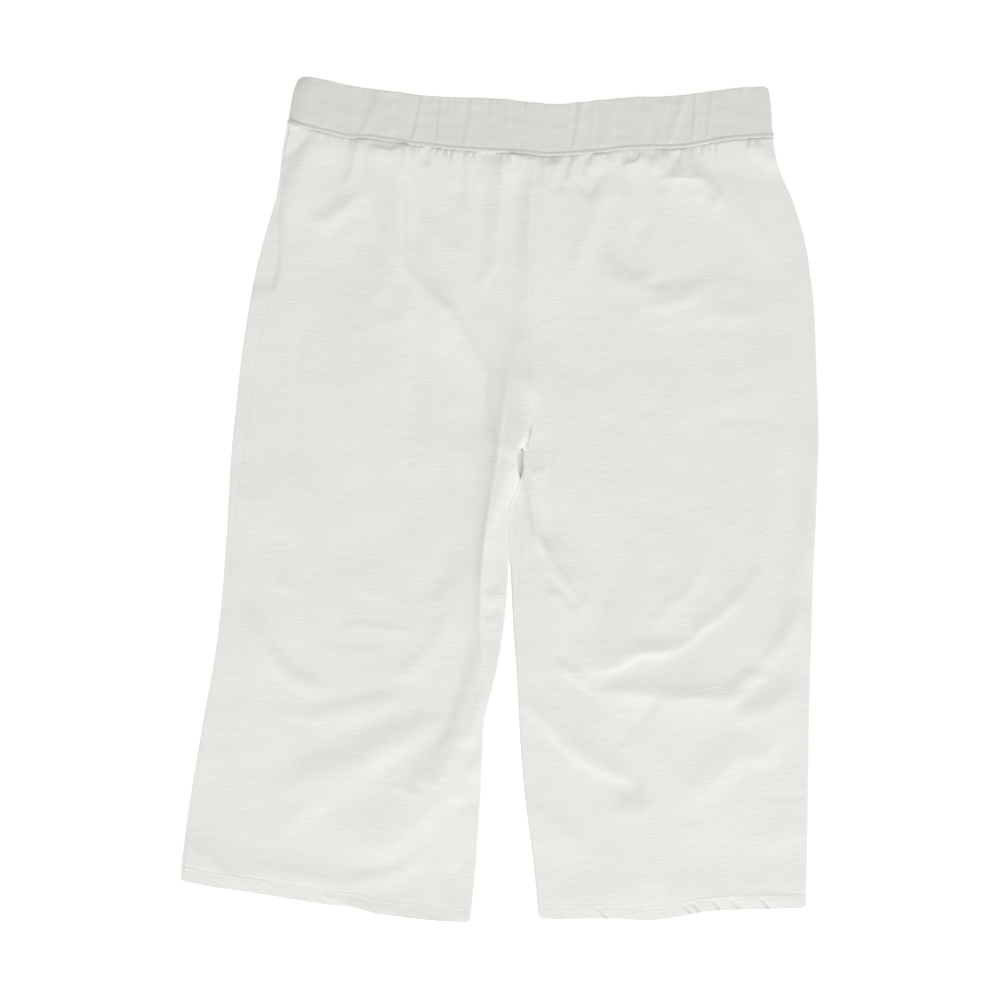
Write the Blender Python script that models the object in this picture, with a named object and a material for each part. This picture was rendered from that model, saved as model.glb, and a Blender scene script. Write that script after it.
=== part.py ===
"""Wide-legged pull-on capri pants in slub knit, laid flat with the front up.

The garment lies on the plane z = 0. +X is to the right of someone who looks
down on it with the waist away from them, +Y runs from the hems to the waist,
and +Z is up. The origin is under the middle of its outline.

Each panel of cloth starts as a grid of points on the face that shows. The
Solidify modifier then grows the cloth inward from that face, twice as thick
where the hem is turned up. Sizes in the tables and constants are millimetres,
and wall() and loft() turn them to metres.
"""

import math

import bmesh
import bpy
import numpy as np

MM = 0.001

# Driving dimensions, in millimetres
CLOTH = 1.2                # slub jersey, one layer
HEM_DEPTH = 14.4           # a little over half an inch, turned up once
HEM_PROUD = 0.3            # how far the doubled hem stands over the leg
SEAM_GAP = 0.3             # between two pieces that are sewn edge to edge
LAYERS_HIGH = 4.2          # top of the front panels where they lie smooth
HEMS_HIGH = 5.6            # the same over the doubled hems
LOWEST_TOP = 2.8           # a trough in the front cannot go under the back
WAIST_HIGH = 5.4           # the same where the front is gathered to the seam
BAND_WIDTH = 45.0          # waistband, from the topstitched seam to its fold
BAND_THICK = 3.0           # elastic between two layers of cloth
BAND_END_ROUND = 2.6       # how far in the band's ends are rounded
BAND_END_LOW = 0.45        # share of its thickness left at a rounded end
BAND_SEAM_EDGE = 0.75      # share of its thickness left at the seam
BAND_FOLD_EDGE = 0.4       # and at the fold
WELT_WIDTH = 4.5           # topstitched seam allowances
WELT_THICK = 3.4
WELT_SHOULDER = 0.3        # share of its thickness that its shoulders drop
WELT_CROWN = 0.45          # share of its width that is full height
CROTCH = 54.0              # height of the crotch in the garment's frame
EDGE_ROLL = 5.0            # how far in the rolled outer edges reach
ROLL_FOOT = 0.45           # the rolled edge's foot, just over the table
WAIST_GAP = 0.8            # between the waist seam and the front panels along it
BACK_WAIST_GAP = 1.9       # the same for the back panels, which are divided more coarsely
BACK_INSET = 2.3           # the back panel's edge, inside a rolled front edge
POCKET_CLOTH = 1.0         # pocket bag, one layer

# How finely the panels are divided
FRONT_COLUMNS = 24
BACK_COLUMNS = 8
BAND_STATIONS = 44
ROLL_STEPS = (0.0, 0.35, 1.4, 3.0)       # distances in from a rolled edge
BEND_STEPS = 6                           # faces round the back panel's bend

# The outline. At each height: the outer and inner edge of the leg at the left,
# then the inner and outer edge of the leg at the right. Over the crotch the
# two inner edges meet in the centre front and centre back seams.
OUTLINE_COLUMNS = ("height", "left_outer", "left_inner", "right_inner", "right_outer")
OUTLINE = (
    (-430, -323, -30, 39.5, 305.5),
    (-377, -319, -24.5, 35, 307),
    (-297, -309, -19, 25, 308.5),
    (-257, -302.5, -17, 21.5, 309),
    (-217, -295.5, -14, 19, 309.5),
    (-197, -292, -9, 18, 310),
    (-177, -288, -4, 17, 310.5),
    (-137, -282, 3, 14, 312),
    (-97, -277.5, 7, 12, 313),
    (-57, -274.5, 8.5, 10.5, 314.5),
    (-20, -272, 8.5, 9.5, 316.5),
    (-5, -271.5, 9.5, 10.5, 317),
    (7, -270.5, 14, 15.5, 317.5),
    (18, -270, 18, 20.5, 318),
    (30, -269.5, 19, 22.5, 318),
    (47, -268, 19, 22.5, 319),
    (60, -267, 27, 27, 319),
    (74, -265.5, 29.5, 29.5, 319),
    (103, -262.5, 28, 28, 318),
    (143, -258, 29.5, 29.5, 316.5),
    (183, -252, 30.5, 30.5, 315),
    (223, -245, 32, 32, 311),
    (263, -235, 33.5, 33.5, 304),
    (283, -229, 34.5, 34.5, 298),
    (303, -223, 35.5, 35.5, 291),
    (323, -220, 36.5, 36.5, 282),
    (343, -218, 37.5, 37.5, 276),
    (377, -212, 39, 39, 273),
)

# How much of the back panel shows on top, outside the left side seam
SEAM_TO_EDGE = (
    (-430, 3), (-137, 3.5), (-97, 4.5), (-57, 6.5), (-2, 7.5), (30, 10.5), (79, 13.5),
    (119, 13.5), (156, 15), (203, 18), (223, 19), (243, 18), (263, 13), (283, 7.5), (298, 4),
    (310, 3), (380, 3),
)

# The middle of the topstitched waist seam, and the waistband's upper fold
WAIST_SEAM = (
    (-230, 380), (-212, 376), (-190, 372), (-167, 366.5), (-150, 363), (-130, 362.5),
    (-107, 359), (-83, 355.5), (-47, 351.5), (-11, 349), (13, 348), (49, 345), (73, 346),
    (97, 348), (121, 351), (150, 352.5), (181, 353), (205, 357), (229, 361), (253, 363),
    (300, 364.5),
)
BAND_TOP = (
    (-215, 422.5), (-199, 422.5), (-183, 421), (-159, 415.5), (-135, 411), (-111, 408),
    (-63, 402.5), (-39, 401.5), (-15, 401), (9, 399.5), (33, 396.5), (57, 395), (81, 397),
    (105, 399.5), (129, 401.5), (177, 403.5), (225, 409.5), (249, 412), (265, 412.5),
    (280, 412),
)
# Across the waistband, from the seam (0) to the fold (1): where its ends are
BAND_ENDS_COLUMNS = ("share", "left", "right")
BAND_ENDS = (
    (0, -211.5, 272.5), (0.5, -208, 271.5), (0.8, -204.5, 270), (0.93, -201.5, 268.5),
    (1, -198, 264),
)

LEFT_HEM = (
    (-325, -379.5), (-317, -381), (-293, -386), (-245, -393), (-197, -401), (-161, -406),
    (-149, -407), (-125, -413), (-89, -418), (-65, -420.5), (-41, -422), (-20, -423),
)
RIGHT_HEM = (
    (30, -417.5), (51, -419), (99, -418.5), (123, -419), (147, -420.5), (171, -418),
    (195, -413.5), (207, -411.5), (231, -410), (267, -409), (312, -408),
)
HEMS = {"left": LEFT_HEM, "right": RIGHT_HEM}

# The folds of the front: a spine of points, the height over the smooth cloth
# (below zero for a trough), and the width to the left and to the right of
# someone who walks along the spine. A small width is a steep side.
FOLD_COLUMNS = ("name", "spine", "height", "left_width", "right_width")
LEFT_FOLDS = (
    ("inner leg roll", ((27, 184), (12, 96), (12, 57), (4, 18), (1, -22), (-18, -68)),
     5.5, 30, 18),
    ("inner leg roll, low", ((-6, 26), (-13, -27), (-18, -68), (-20, -108), (-17, -170)),
     3.0, 16, 6),
    ("roll runs out", ((-11, -136), (-31, -207), (-42, -241), (-60, -280)), 3.8, 30, 9),
    ("edge bulge", ((-14, -178), (-26, -222), (-36, -251)), 1.6, 12, 8),
    ("hip crease", ((-126, 262), (-99, 237), (-65, 203), (-28, 166)), 3.0, 11, 40),
    ("hip dimple", ((-125, 273), (-108, 278), (-94, 279)), 2.4, 42, 50),
    ("hip wedge", ((-199, 274), (-170, 281), (-153, 294), (-127, 309)), 2.0, 9, 12),
    ("hip side", ((-190, 384), (-193, 342), (-207, 308), (-203, 258)), 2.2, 20, 10),
    ("waist corner", ((-187, 374), (-198, 355), (-210, 346), (-230, 332)), -1.6, 8, 16),
    ("tuck line", ((-136, 373), (-149, 326), (-162, 302)), 2.3, 30, 7),
    ("waist tuck", ((-136, 352), (-110, 348), (-88, 353)), 2.4, 5, 28),
    ("hip line", ((-96, 343), (-89, 290), (-87, 236)), 1.6, 6, 20),
    ("belly rib", ((1, 352), (2, 314), (-4, 245)), 2.2, 10, 12),
    ("outer sweep", ((-266, -90), (-245, -123), (-214, -171), (-161, -193)), 2.0, 9, 12),
    ("knee", ((-232, -310), (-163, -276), (-98, -234), (-65, -230)), 2.8, 18, 20),
    ("shin", ((-171, -373), (-110, -344), (-61, -301), (-13, -261)), 2.8, 45, 20),
    ("lifted hem", ((-161, -413), (-120, -417), (-76, -428), (-14, -424)), 2.0, 18, 16),
)
RIGHT_FOLDS = (
    ("crotch fold", ((32, 79), (21, 41), (24, 8), (41, -40), (63, -84), (87, -107)),
     2.4, 10, 5),
    ("crotch pad foot", ((37, -37), (55, -33), (81, -22)), -2.6, 34, 27),
    ("inner thigh flap", ((42, -95), (61, -98), (90, -113)), 1.7, 11, 15),
    ("knee crest", ((80, -173), (117, -167), (163, -153), (199, -132), (259, -95)),
     2.6, 26, 7),
    ("knee", ((94, -205), (134, -193), (199, -199), (246, -196)), 3.4, 16, 22),
    ("knee side", ((228, -221), (252, -213), (273, -206), (310, -176)), 2.6, 16, 14),
    ("thigh pit", ((130, -118), (159, -134), (200, -134)), -2.0, 24, 30),
    ("outer thigh trough", ((297, 75), (295, 12), (287, -37), (273, -89)), -2.0, 14, 11),
    ("outer edge swell", ((310, 85), (304, 20), (309, -40), (309, -102)), 1.7, 20, 14),
    ("shin", ((-9, -191), (57, -235), (105, -270), (139, -271)), 2.2, 15, 9),
    ("outer shin", ((188, -311), (236, -260), (278, -231), (306, -199)), 2.0, 23, 13),
    ("press crease", ((140, -272), (148, -336), (163, -408)), 2.3, 9, 22),
    ("front fold", ((36, 352), (32, 296), (30, 217), (27, 142)), 4.0, 74, 9),
    ("hip crease", ((126, 218), (157, 203), (215, 211), (246, 214)), 2.0, 10, 22),
    ("hip soft", ((94, 256), (121, 245), (118, 231)), -1.6, 15, 10),
    ("wing", ((112, 337), (97, 319), (84, 301)), -1.6, 7, 18),
    ("waist wedge", ((149, 315), (179, 319), (194, 317), (212, 329)), 3.6, 27, 25),
    ("waist tuck", ((104, 349), (122, 340), (137, 335), (153, 348)), 2.6, 6, 20),
)
FOLDS = {"left": LEFT_FOLDS, "right": RIGHT_FOLDS}
OTHER_SIDE = {"left": "right", "right": "left"}

# Gathers under the waist seam: how far the middle of each is from the centre,
# how far it runs down the cloth, and how high it stands
GATHER_WIDTH = 5.5
GATHER_COLUMNS = ("place", "length", "height")
GATHERS = (
    (-168, 16, 0.8), (-148, 26, 1.3), (-108, 18, 1.0), (-92, 40, 1.5), (-74, 18, 1.0),
    (-58, 24, 1.3), (-42, 30, 1.5), (-25, 20, 1.2), (-8, 26, 1.3), (8, 34, 1.5),
    (22, 22, 1.2), (50, 26, 1.2), (64, 20, 1.0), (80, 34, 1.6), (101, 38, 1.7),
    (118, 22, 1.2), (144, 26, 1.4), (163, 32, 1.6), (186, 34, 1.8), (206, 36, 1.8),
    (224, 24, 1.4), (240, 18, 1.0),
)
# Puckers across the elastic: place at its seam, place at its fold, depth
PUCKER_WIDTH = 5.0
PUCKERS = (
    (-142, -127, 0.8), (-104, -101, 0.7), (-90, -81, 0.8), (-66, -61, 0.8),
    (-45, -37, 0.8), (46, 46, 0.4), (70, 79, 0.8), (104, 110, 0.6), (172, 182, 0.8),
    (192, 200, 0.7), (212, 213, 0.6), (-178, -168, 0.5), (-8, 0, 0.5), (140, 146, 0.4),
)

ROWS = (
    -405, -391.2, -389.4, -374, -356, -338, -321, -304, -288, -272, -256, -240, -224,
    -210, -198, -186, -172, -158, -142, -126, -106, -84, -62, -40, -18, 4, 22, 38, 47,
    54, 61, 72, 92, 120, 150, 180, 205, 228, 256, 286, 310, 326, 337, 346,
)
HEM_LINE, TOP_LINE = -405.0, 346.0   # the first and last of those rows
HEM_BEND, WAIST_BEND = -300.0, 230.0  # from here the rows bend to hem and waist

POCKET = (
    (-217, 294), (-160, 294), (-128, 280), (-102, 250), (-90, 230), (-83, 200), (-82, 150),
    (-85, 100), (-92, 40), (-112, 10), (-150, -2), (-238, -2), (-250, 10), (-254, 40),
    (-250, 100), (-243, 150), (-234.5, 200),
)
POCKET_BASE = 1.6


def hermite(table, at):
    """Read a smooth curve through a table of (place, value) rows."""
    place, value = np.array(table, float).T
    slope = np.gradient(value, place)
    at = np.clip(np.asarray(at, float), place[0], place[-1])
    row = np.clip(np.searchsorted(place, at) - 1, 0, len(place) - 2)
    step = place[row + 1] - place[row]
    t = (at - place[row]) / step
    ends = value[row] * (2 * t**3 - 3 * t**2 + 1) + value[row + 1] * (3 * t**2 - 2 * t**3)
    return ends + step * (
        slope[row] * (t**3 - 2 * t**2 + t) + slope[row + 1] * (t**3 - t**2)
    )


def column(table, names, wanted):
    """Two columns of a wide table, the first one and the wanted one."""
    return [(row[0], row[names.index(wanted)]) for row in table]


def edge(name, y):
    return hermite(column(OUTLINE, OUTLINE_COLUMNS, name), y)


def ease(value, start, end):
    """0 before start, 1 after end, smooth between them."""
    t = np.clip((np.asarray(value, float) - start) / (end - start), 0, 1)
    return t * t * (3 - 2 * t)


def spine_points(spine, count=24):
    """Evenly numbered points on a smooth curve through a fold's spine."""
    t = np.linspace(0, len(spine) - 1, count)
    knots = range(len(spine))
    return np.column_stack(
        [hermite([(k, spine[k][axis]) for k in knots], t) for axis in (0, 1)]
    )


def fold_height(x, y, spine, height, left_width, right_width):
    """A rounded ridge or trough along the spine, which fades out towards both ends."""
    points = spine_points(spine)
    start, run = points[:-1], np.diff(points, axis=0)
    here = np.column_stack([np.ravel(x), np.ravel(y)])[:, None, :]
    along = np.clip(((here - start) * run).sum(2) / (run**2).sum(1), 0, 1)
    offset = here - (start + along[..., None] * run)
    away = np.hypot(offset[..., 0], offset[..., 1])
    nearest = away.argmin(1)
    each = np.arange(len(nearest))
    near, offset = away[each, nearest], offset[each, nearest]
    run_there = run[nearest]
    is_left = run_there[:, 0] * offset[:, 1] - run_there[:, 1] * offset[:, 0] > 0
    width = np.where(is_left, left_width, right_width)
    share = (nearest + along[each, nearest]) / len(run)
    fade = ease(share, 0, 0.25) * ease(1 - share, 0, 0.25)
    return (height * fade * np.exp(-((near / width) ** 2))).reshape(np.shape(x))


def gather_height(x, y):
    """Gathers that hang from the waist seam."""
    below = hermite(WAIST_SEAM, x) - WELT_WIDTH / 2 - y
    total = np.zeros(np.shape(x))
    for place, length, height in GATHERS:
        across = np.exp(-(((x - place) / GATHER_WIDTH) ** 2))
        total += height * across * np.exp(-((np.maximum(below, 0) / length) ** 2))
    return total


def front_top(x, y, side):
    """Height of the front's upper face over the table."""
    over_hem = y - hermite(HEMS[side], x)
    below_seam = hermite(WAIST_SEAM, x) - y
    z = LAYERS_HIGH + (HEMS_HIGH - LAYERS_HIGH) * ease(over_hem, 55, HEM_DEPTH + 2)
    z = z + HEM_PROUD * ease(over_hem, HEM_DEPTH + 1, HEM_DEPTH)
    z = z + (WAIST_HIGH - LAYERS_HIGH) * ease(below_seam, 45, 6)
    for _, *fold in FOLDS[side]:
        z = z + fold_height(x, y, *fold)
    joined = ease(y, CROTCH - 6, CROTCH + 44)    # over the crotch folds cross the seam
    for _, *fold in FOLDS[OTHER_SIDE[side]]:
        z = z + joined * fold_height(x, y, *fold)
    return np.maximum(z + gather_height(x, y), LOWEST_TOP)


def row_heights(x, row, side, gap=WAIST_GAP):
    """Bend a level row to follow the hem or the waist seam near its ends."""
    to_hem = (hermite(HEMS[side], x) - HEM_LINE) * ease(-row, -HEM_BEND, -HEM_LINE)
    waist = hermite(WAIST_SEAM, x) - WELT_WIDTH / 2 - gap
    to_waist = (waist - TOP_LINE) * ease(row, WAIST_BEND, TOP_LINE)
    return row + to_hem + to_waist


def grid_faces(rows, columns):
    """Quads of a grid whose points are numbered row by row."""
    for row in range(rows - 1):
        for col in range(columns - 1):
            a = row * columns + col
            yield (a, a + 1, a + 1 + columns, a + columns)


def wall(name, points, doubling, material, flip):
    """Cloth grown inward from a grid of points on its outer face."""
    rows, columns, _ = points.shape
    faces = list(grid_faces(rows, columns))
    if flip:
        faces = [face[::-1] for face in faces]
    mesh = bpy.data.meshes.new(name)
    mesh.from_pydata((points.reshape(-1, 3) * MM).tolist(), [], faces)
    mesh.materials.append(material)
    piece = bpy.data.objects.new(name, mesh)
    bpy.context.collection.objects.link(piece)
    doubled = piece.vertex_groups.new(name="doubled")
    for index, share in enumerate(doubling.ravel()):
        doubled.add([index], float(share), "REPLACE")
    solidify = piece.modifiers.new("cloth", "SOLIDIFY")
    solidify.thickness = 2 * CLOTH * MM
    solidify.offset = -1
    solidify.use_even_offset = False
    solidify.vertex_group = "doubled"
    solidify.thickness_vertex_group = 0.5
    return piece


def rolled(distance, full_height):
    """The height of a rolled edge that comes down to the table."""
    inside = np.clip(1 - distance / EDGE_ROLL, 0, 1)
    return ROLL_FOOT + (full_height - ROLL_FOOT) * np.sqrt(1 - inside**2)


def front_panel(side, material):
    """A front panel, from its outer edge to the centre front or the inner leg."""
    sign = -1 if side == "left" else 1
    shares = np.linspace(0, 1, FRONT_COLUMNS) ** 1.25
    inner_steps = np.array(ROLL_STEPS)
    outer_steps = inner_steps[::-1] if side == "right" else np.array([0.0])
    points, doubled = [], []
    for row in ROWS:
        rough = edge(side + "_inner", row), edge(side + "_outer", row)
        guess = np.linspace(*rough, FRONT_COLUMNS + len(inner_steps) + len(outer_steps))
        y = row_heights(guess, row, side)
        inner, outer = edge(side + "_inner", y), edge(side + "_outer", y)
        open_leg = ease(y, CROTCH + 8, CROTCH - 6)
        inner = inner + sign * SEAM_GAP / 2 * (1 - open_leg)
        if side == "left":
            outer = outer + hermite(SEAM_TO_EDGE, y) + SEAM_GAP / 2
        first, last = len(inner_steps), len(outer_steps)
        low = inner + sign * EDGE_ROLL
        high = outer - sign * (EDGE_ROLL if side == "right" else 6.0)
        x = np.empty_like(guess)
        x[:first] = inner[:first] + sign * inner_steps
        x[-last:] = outer[-last:] - sign * outer_steps
        middle = slice(first, len(x) - last)
        x[middle] = low[middle] + (high[middle] - low[middle]) * shares
        y = row_heights(x, row, side)
        z = front_top(x, y, side)
        from_inner = np.abs(x - inner)
        z = z + (rolled(from_inner, z) - z) * open_leg
        if side == "right":
            z = rolled(np.abs(outer - x), z)
        points.append(np.column_stack([x, y, z]))
        from_edge = np.minimum(from_inner, np.abs(outer - x))
        in_hem = (row < HEM_LINE + HEM_DEPTH) * ease(from_edge, 3.0, 9.0)
        doubled.append(in_hem)
    return wall("front_" + side, np.array(points), np.array(doubled), material,
                flip=side == "left")


def back_panel(side, material):
    """A back panel. The left one bends up over the outer edge to its side seam."""
    sign = -1 if side == "left" else 1
    points, doubled = [], []
    for row in ROWS:
        rough = edge(side + "_inner", row), edge(side + "_outer", row)
        y = row_heights(np.linspace(*rough, BACK_COLUMNS), row, side, BACK_WAIST_GAP)
        inner, outer = edge(side + "_inner", y), edge(side + "_outer", y)
        inset = SEAM_GAP / 2 + (BACK_INSET - SEAM_GAP / 2) * ease(y, CROTCH + 20, CROTCH + 8)
        inner = inner + sign * inset
        flat_end = outer - sign * (7.0 if side == "left" else BACK_INSET)
        x = inner + (flat_end - inner) * np.linspace(0, 1, BACK_COLUMNS)
        y = row_heights(x, row, side, BACK_WAIST_GAP)
        z = np.zeros(BACK_COLUMNS)
        in_hem = (row < HEM_LINE + HEM_DEPTH) * ease(np.abs(x - inner), 1.0, 6.0)
        if side == "left":
            in_hem = in_hem * ease(x - outer, 6.0, 14.0)
            bend_edge = outer[-1]
            seam = bend_edge + hermite(SEAM_TO_EDGE, y[-1]) - SEAM_GAP / 2
            top = float(front_top(seam, y[-1], side))
            radius = min(top / 2, seam - bend_edge - 0.3)
            turn = np.linspace(-math.pi / 2, math.pi / 2, BEND_STEPS + 1)
            bend_x = bend_edge + radius * (1 - np.cos(turn))
            bend_z = top / 2 * (1 + np.sin(turn))
            strip_x = np.concatenate([bend_x, [(bend_x[-1] + seam) / 2, seam]])
            x = np.concatenate([x, strip_x])
            z = np.concatenate([z, bend_z, [top, top]])
            y = np.concatenate([y, row_heights(strip_x, row, side)])
            in_hem = np.concatenate([in_hem, np.zeros(len(x) - len(in_hem))])
        points.append(np.column_stack([x, y, z]))
        doubled.append(in_hem)
    return wall("back_" + side, np.array(points), np.array(doubled), material,
                flip=side == "right")


def loft(name, sections, material):
    """A closed solid through sections of equal point counts, with flat ends."""
    count = len(sections[0])
    bm = bmesh.new()
    rings = [[bm.verts.new(np.array(p) * MM) for p in section] for section in sections]
    for ring, following in zip(rings, rings[1:]):
        for i in range(count):
            j = (i + 1) % count
            bm.faces.new((ring[i], ring[j], following[j], following[i]))
    bm.faces.new(rings[0][::-1])
    bm.faces.new(rings[-1])
    bmesh.ops.recalc_face_normals(bm, faces=bm.faces)
    mesh = bpy.data.meshes.new(name)
    bm.to_mesh(mesh)
    bm.free()
    mesh.materials.append(material)
    piece = bpy.data.objects.new(name, mesh)
    bpy.context.collection.objects.link(piece)
    return piece


def pucker_depth(x, share):
    """How far the elastic's puckers press its face in."""
    total = np.zeros(np.shape(x))
    for at_seam, at_fold, depth in PUCKERS:
        place = at_seam + (at_fold - at_seam) * share
        total += depth * np.exp(-(((x - place) / PUCKER_WIDTH) ** 2))
    return total


def stations(count, end_steps):
    """Shares along a strap, closer together over its rounded ends."""
    middle = np.linspace(end_steps[-1], 1 - end_steps[-1], count)
    return np.concatenate([end_steps[:-1], middle, 1 - np.array(end_steps[:-1])[::-1]])


def waistband(name, low, high, puckered, count, material):
    """Half of the waistband: an elastic strap with rounded edges and ends."""
    length = BAND_ENDS[0][2] - BAND_ENDS[0][1]
    shares = stations(count, (0.0, 0.3 * BAND_END_ROUND / length, BAND_END_ROUND / length))
    across = (0.0, 1.2 / BAND_WIDTH, 0.25, 0.5, 0.75, 1 - 2 / BAND_WIDTH, 1.0)
    sections = []
    for along in shares:
        section = []
        from_end = min(along, 1 - along) * length
        inside = max(0.0, 1 - from_end / BAND_END_ROUND)
        end_round = BAND_END_LOW + (1 - BAND_END_LOW) * math.sqrt(1 - inside**2)
        for share in across:
            left = hermite(column(BAND_ENDS, BAND_ENDS_COLUMNS, "left"), share)
            right = hermite(column(BAND_ENDS, BAND_ENDS_COLUMNS, "right"), share)
            x = float(left + (right - left) * along)
            start = float(hermite(WAIST_SEAM, x)) + WELT_WIDTH / 2 + SEAM_GAP
            y = start + (float(hermite(BAND_TOP, x)) - start) * share
            edge_round = {0.0: BAND_SEAM_EDGE, 1.0: BAND_FOLD_EDGE}.get(share, 1.0)
            rise = (high - low) * min(edge_round, end_round)
            if puckered and edge_round == 1.0 and end_round == 1.0:
                rise -= float(pucker_depth(x, share))
            section.append((x, y, rise))
        faced = [(x, y, low + rise) for x, y, rise in section]
        if not puckered:
            faced = [(x, y, high - rise) for x, y, rise in section]
        plain = low if puckered else high
        flat = [(section[-1][0], section[-1][1], plain), (section[0][0], section[0][1], plain)]
        sections.append(faced + flat)
    return loft(name, sections, material)


def waist_seam(name, low, high, count, material, rounded_up):
    """The topstitched seam allowances, a low welt between band and panels."""
    first, last = edge("left_outer", WAIST_SEAM[1][1]), edge("right_outer", WAIST_SEAM[-2][1])
    sections = []
    for x in np.linspace(first, last, count):
        y = float(hermite(WAIST_SEAM, x))
        half = WELT_WIDTH / 2
        shoulder = (high - low) * WELT_SHOULDER
        crown = half * WELT_CROWN
        if rounded_up:
            profile = ((-half, low), (-half, high - shoulder), (-crown, high),
                       (crown, high), (half, high - shoulder), (half, low))
        else:
            profile = ((-half, low), (-half, high), (half, high), (half, low))
        sections.append([(x, y + across, z) for across, z in profile])
    return loft(name, sections, material)


def pocket_bag(name, material):
    """One layer of the pocket bag, flat between the front and the back."""
    floor = [(x, y, POCKET_BASE) for x, y in POCKET]
    lid = [(x, y, POCKET_BASE + POCKET_CLOTH) for x, y in POCKET]
    return loft(name, [floor, lid], material)


def cloth_material(name, rgb, roughness):
    """A matt cotton, with the colour given in linear light."""
    material = bpy.data.materials.new(name)
    material.use_nodes = True
    shader = material.node_tree.nodes["Principled BSDF"]
    shader.inputs["Base Color"].default_value = (*rgb, 1.0)
    shader.inputs["Roughness"].default_value = roughness
    shader.inputs["Metallic"].default_value = 0.0
    return material


def main():
    for item in list(bpy.data.objects):
        bpy.data.objects.remove(item, do_unlink=True)

    tints = {
        "front_left": (0.80, 0.81, 0.76), "front_right": (0.82, 0.82, 0.78),
        "back_left": (0.76, 0.77, 0.72), "back_right": (0.75, 0.76, 0.71),
        "waistband_front": (0.72, 0.73, 0.68), "waistband_back": (0.70, 0.71, 0.66),
        "waist_seam_front": (0.78, 0.79, 0.74), "waist_seam_back": (0.74, 0.75, 0.70),
        "pocket_left": (0.68, 0.69, 0.64),
    }
    cloth = {name: cloth_material(name + "_knit", rgb, 0.9) for name, rgb in tints.items()}

    for side in HEMS:
        front_panel(side, cloth["front_" + side])
        back_panel(side, cloth["back_" + side])

    front_low = BAND_THICK + SEAM_GAP
    waistband("waistband_front", front_low, front_low + BAND_THICK, True,
              BAND_STATIONS, cloth["waistband_front"])
    waistband("waistband_back", 0.0, BAND_THICK, False,
              BAND_STATIONS // 2, cloth["waistband_back"])
    waist_seam("waist_seam_front", front_low, front_low + WELT_THICK, BAND_STATIONS,
               cloth["waist_seam_front"], rounded_up=True)
    waist_seam("waist_seam_back", 0.0, BAND_THICK, BAND_STATIONS // 2,
               cloth["waist_seam_back"], rounded_up=False)
    pocket_bag("pocket_left", cloth["pocket_left"])


main()
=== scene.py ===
# %% [markdown]
# # Wide-legged capri pants, laid flat
#
# The pants are pulled on, so there is no fly: four panels of slub jersey, two
# for each leg, hang from a wide elastic waistband. They lie on a table with
# the front up, and the way the cloth was smoothed by hand left a few large
# folds, many small gathers under the waist, and rolled edges.
#
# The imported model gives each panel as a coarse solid. Here each one is laid
# out again as a fine shell of the same form, with the creases that show,
# real stitches, and a knit with slubs.

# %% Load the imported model
import math

import bpy
import mathutils
import numpy as np
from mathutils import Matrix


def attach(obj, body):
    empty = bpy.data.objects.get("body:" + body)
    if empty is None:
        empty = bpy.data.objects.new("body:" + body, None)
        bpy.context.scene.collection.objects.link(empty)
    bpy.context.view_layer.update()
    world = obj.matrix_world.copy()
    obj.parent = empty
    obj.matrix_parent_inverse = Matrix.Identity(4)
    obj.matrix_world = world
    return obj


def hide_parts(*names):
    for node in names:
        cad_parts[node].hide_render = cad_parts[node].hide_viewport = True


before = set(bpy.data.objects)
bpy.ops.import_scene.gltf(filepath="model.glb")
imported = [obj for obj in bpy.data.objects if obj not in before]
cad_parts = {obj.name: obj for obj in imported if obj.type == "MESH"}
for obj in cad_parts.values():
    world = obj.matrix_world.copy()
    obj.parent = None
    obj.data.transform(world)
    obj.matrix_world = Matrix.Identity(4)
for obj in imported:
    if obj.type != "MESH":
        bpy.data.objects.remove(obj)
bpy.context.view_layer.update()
MM = 0.001

# %% [markdown]
# ## Sizes of the garment
#
# All sizes are in millimetres. The outline is given at the heights where it
# bends, and a smooth curve through those rows gives every height between them.
# X runs across, Y from the hems to the waist, and the middle of the outline is
# zero.

# %% Cloth and seams
CLOTH = 1.1            # one layer of slub jersey
HEM_DEPTH = 14.4       # turned up a little over half an inch
NEEDLES_APART = 2.8    # the two needles that sew the hems
STITCH = 2.9           # length of a stitch with its gap
BEAD_LENGTH = STITCH * 0.82
THREAD = 0.42          # thickness of the sewing thread
SEAM_GAP = 0.04
SEAM_GROOVE, SEAM_GROOVE_WIDTH = 0.16, 0.9
LAYERS_HIGH = 4.2      # two layers with a little air, smoothed by hand
HEMS_HIGH = 5.4        # four layers at the hems
WAIST_HIGH = 5.9
EDGE_ROLL = 1.5        # how far in the rolled edges reach
CORNER = 3.2           # the corners of the hems are rounded this much
FOOT = 0.5             # the rolled edge's foot over the table
WELT_WIDTH = 4.5
WAIST_GAP = 0.12
CROTCH = 54.0
LEGS_TOUCH_TO = -57.0   # below the crotch the legs still touch down to here
TOUCHING_GROOVE = 0.5
SLIT = (20, 52)        # right under the crotch the legs gape a little
BAND_LOW, BAND_HIGH = 3.3, 5.9
WELT_HIGH, WELT_EDGE = 6.2, 5.5   # the welt's middle, and the cloth where it meets it

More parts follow.
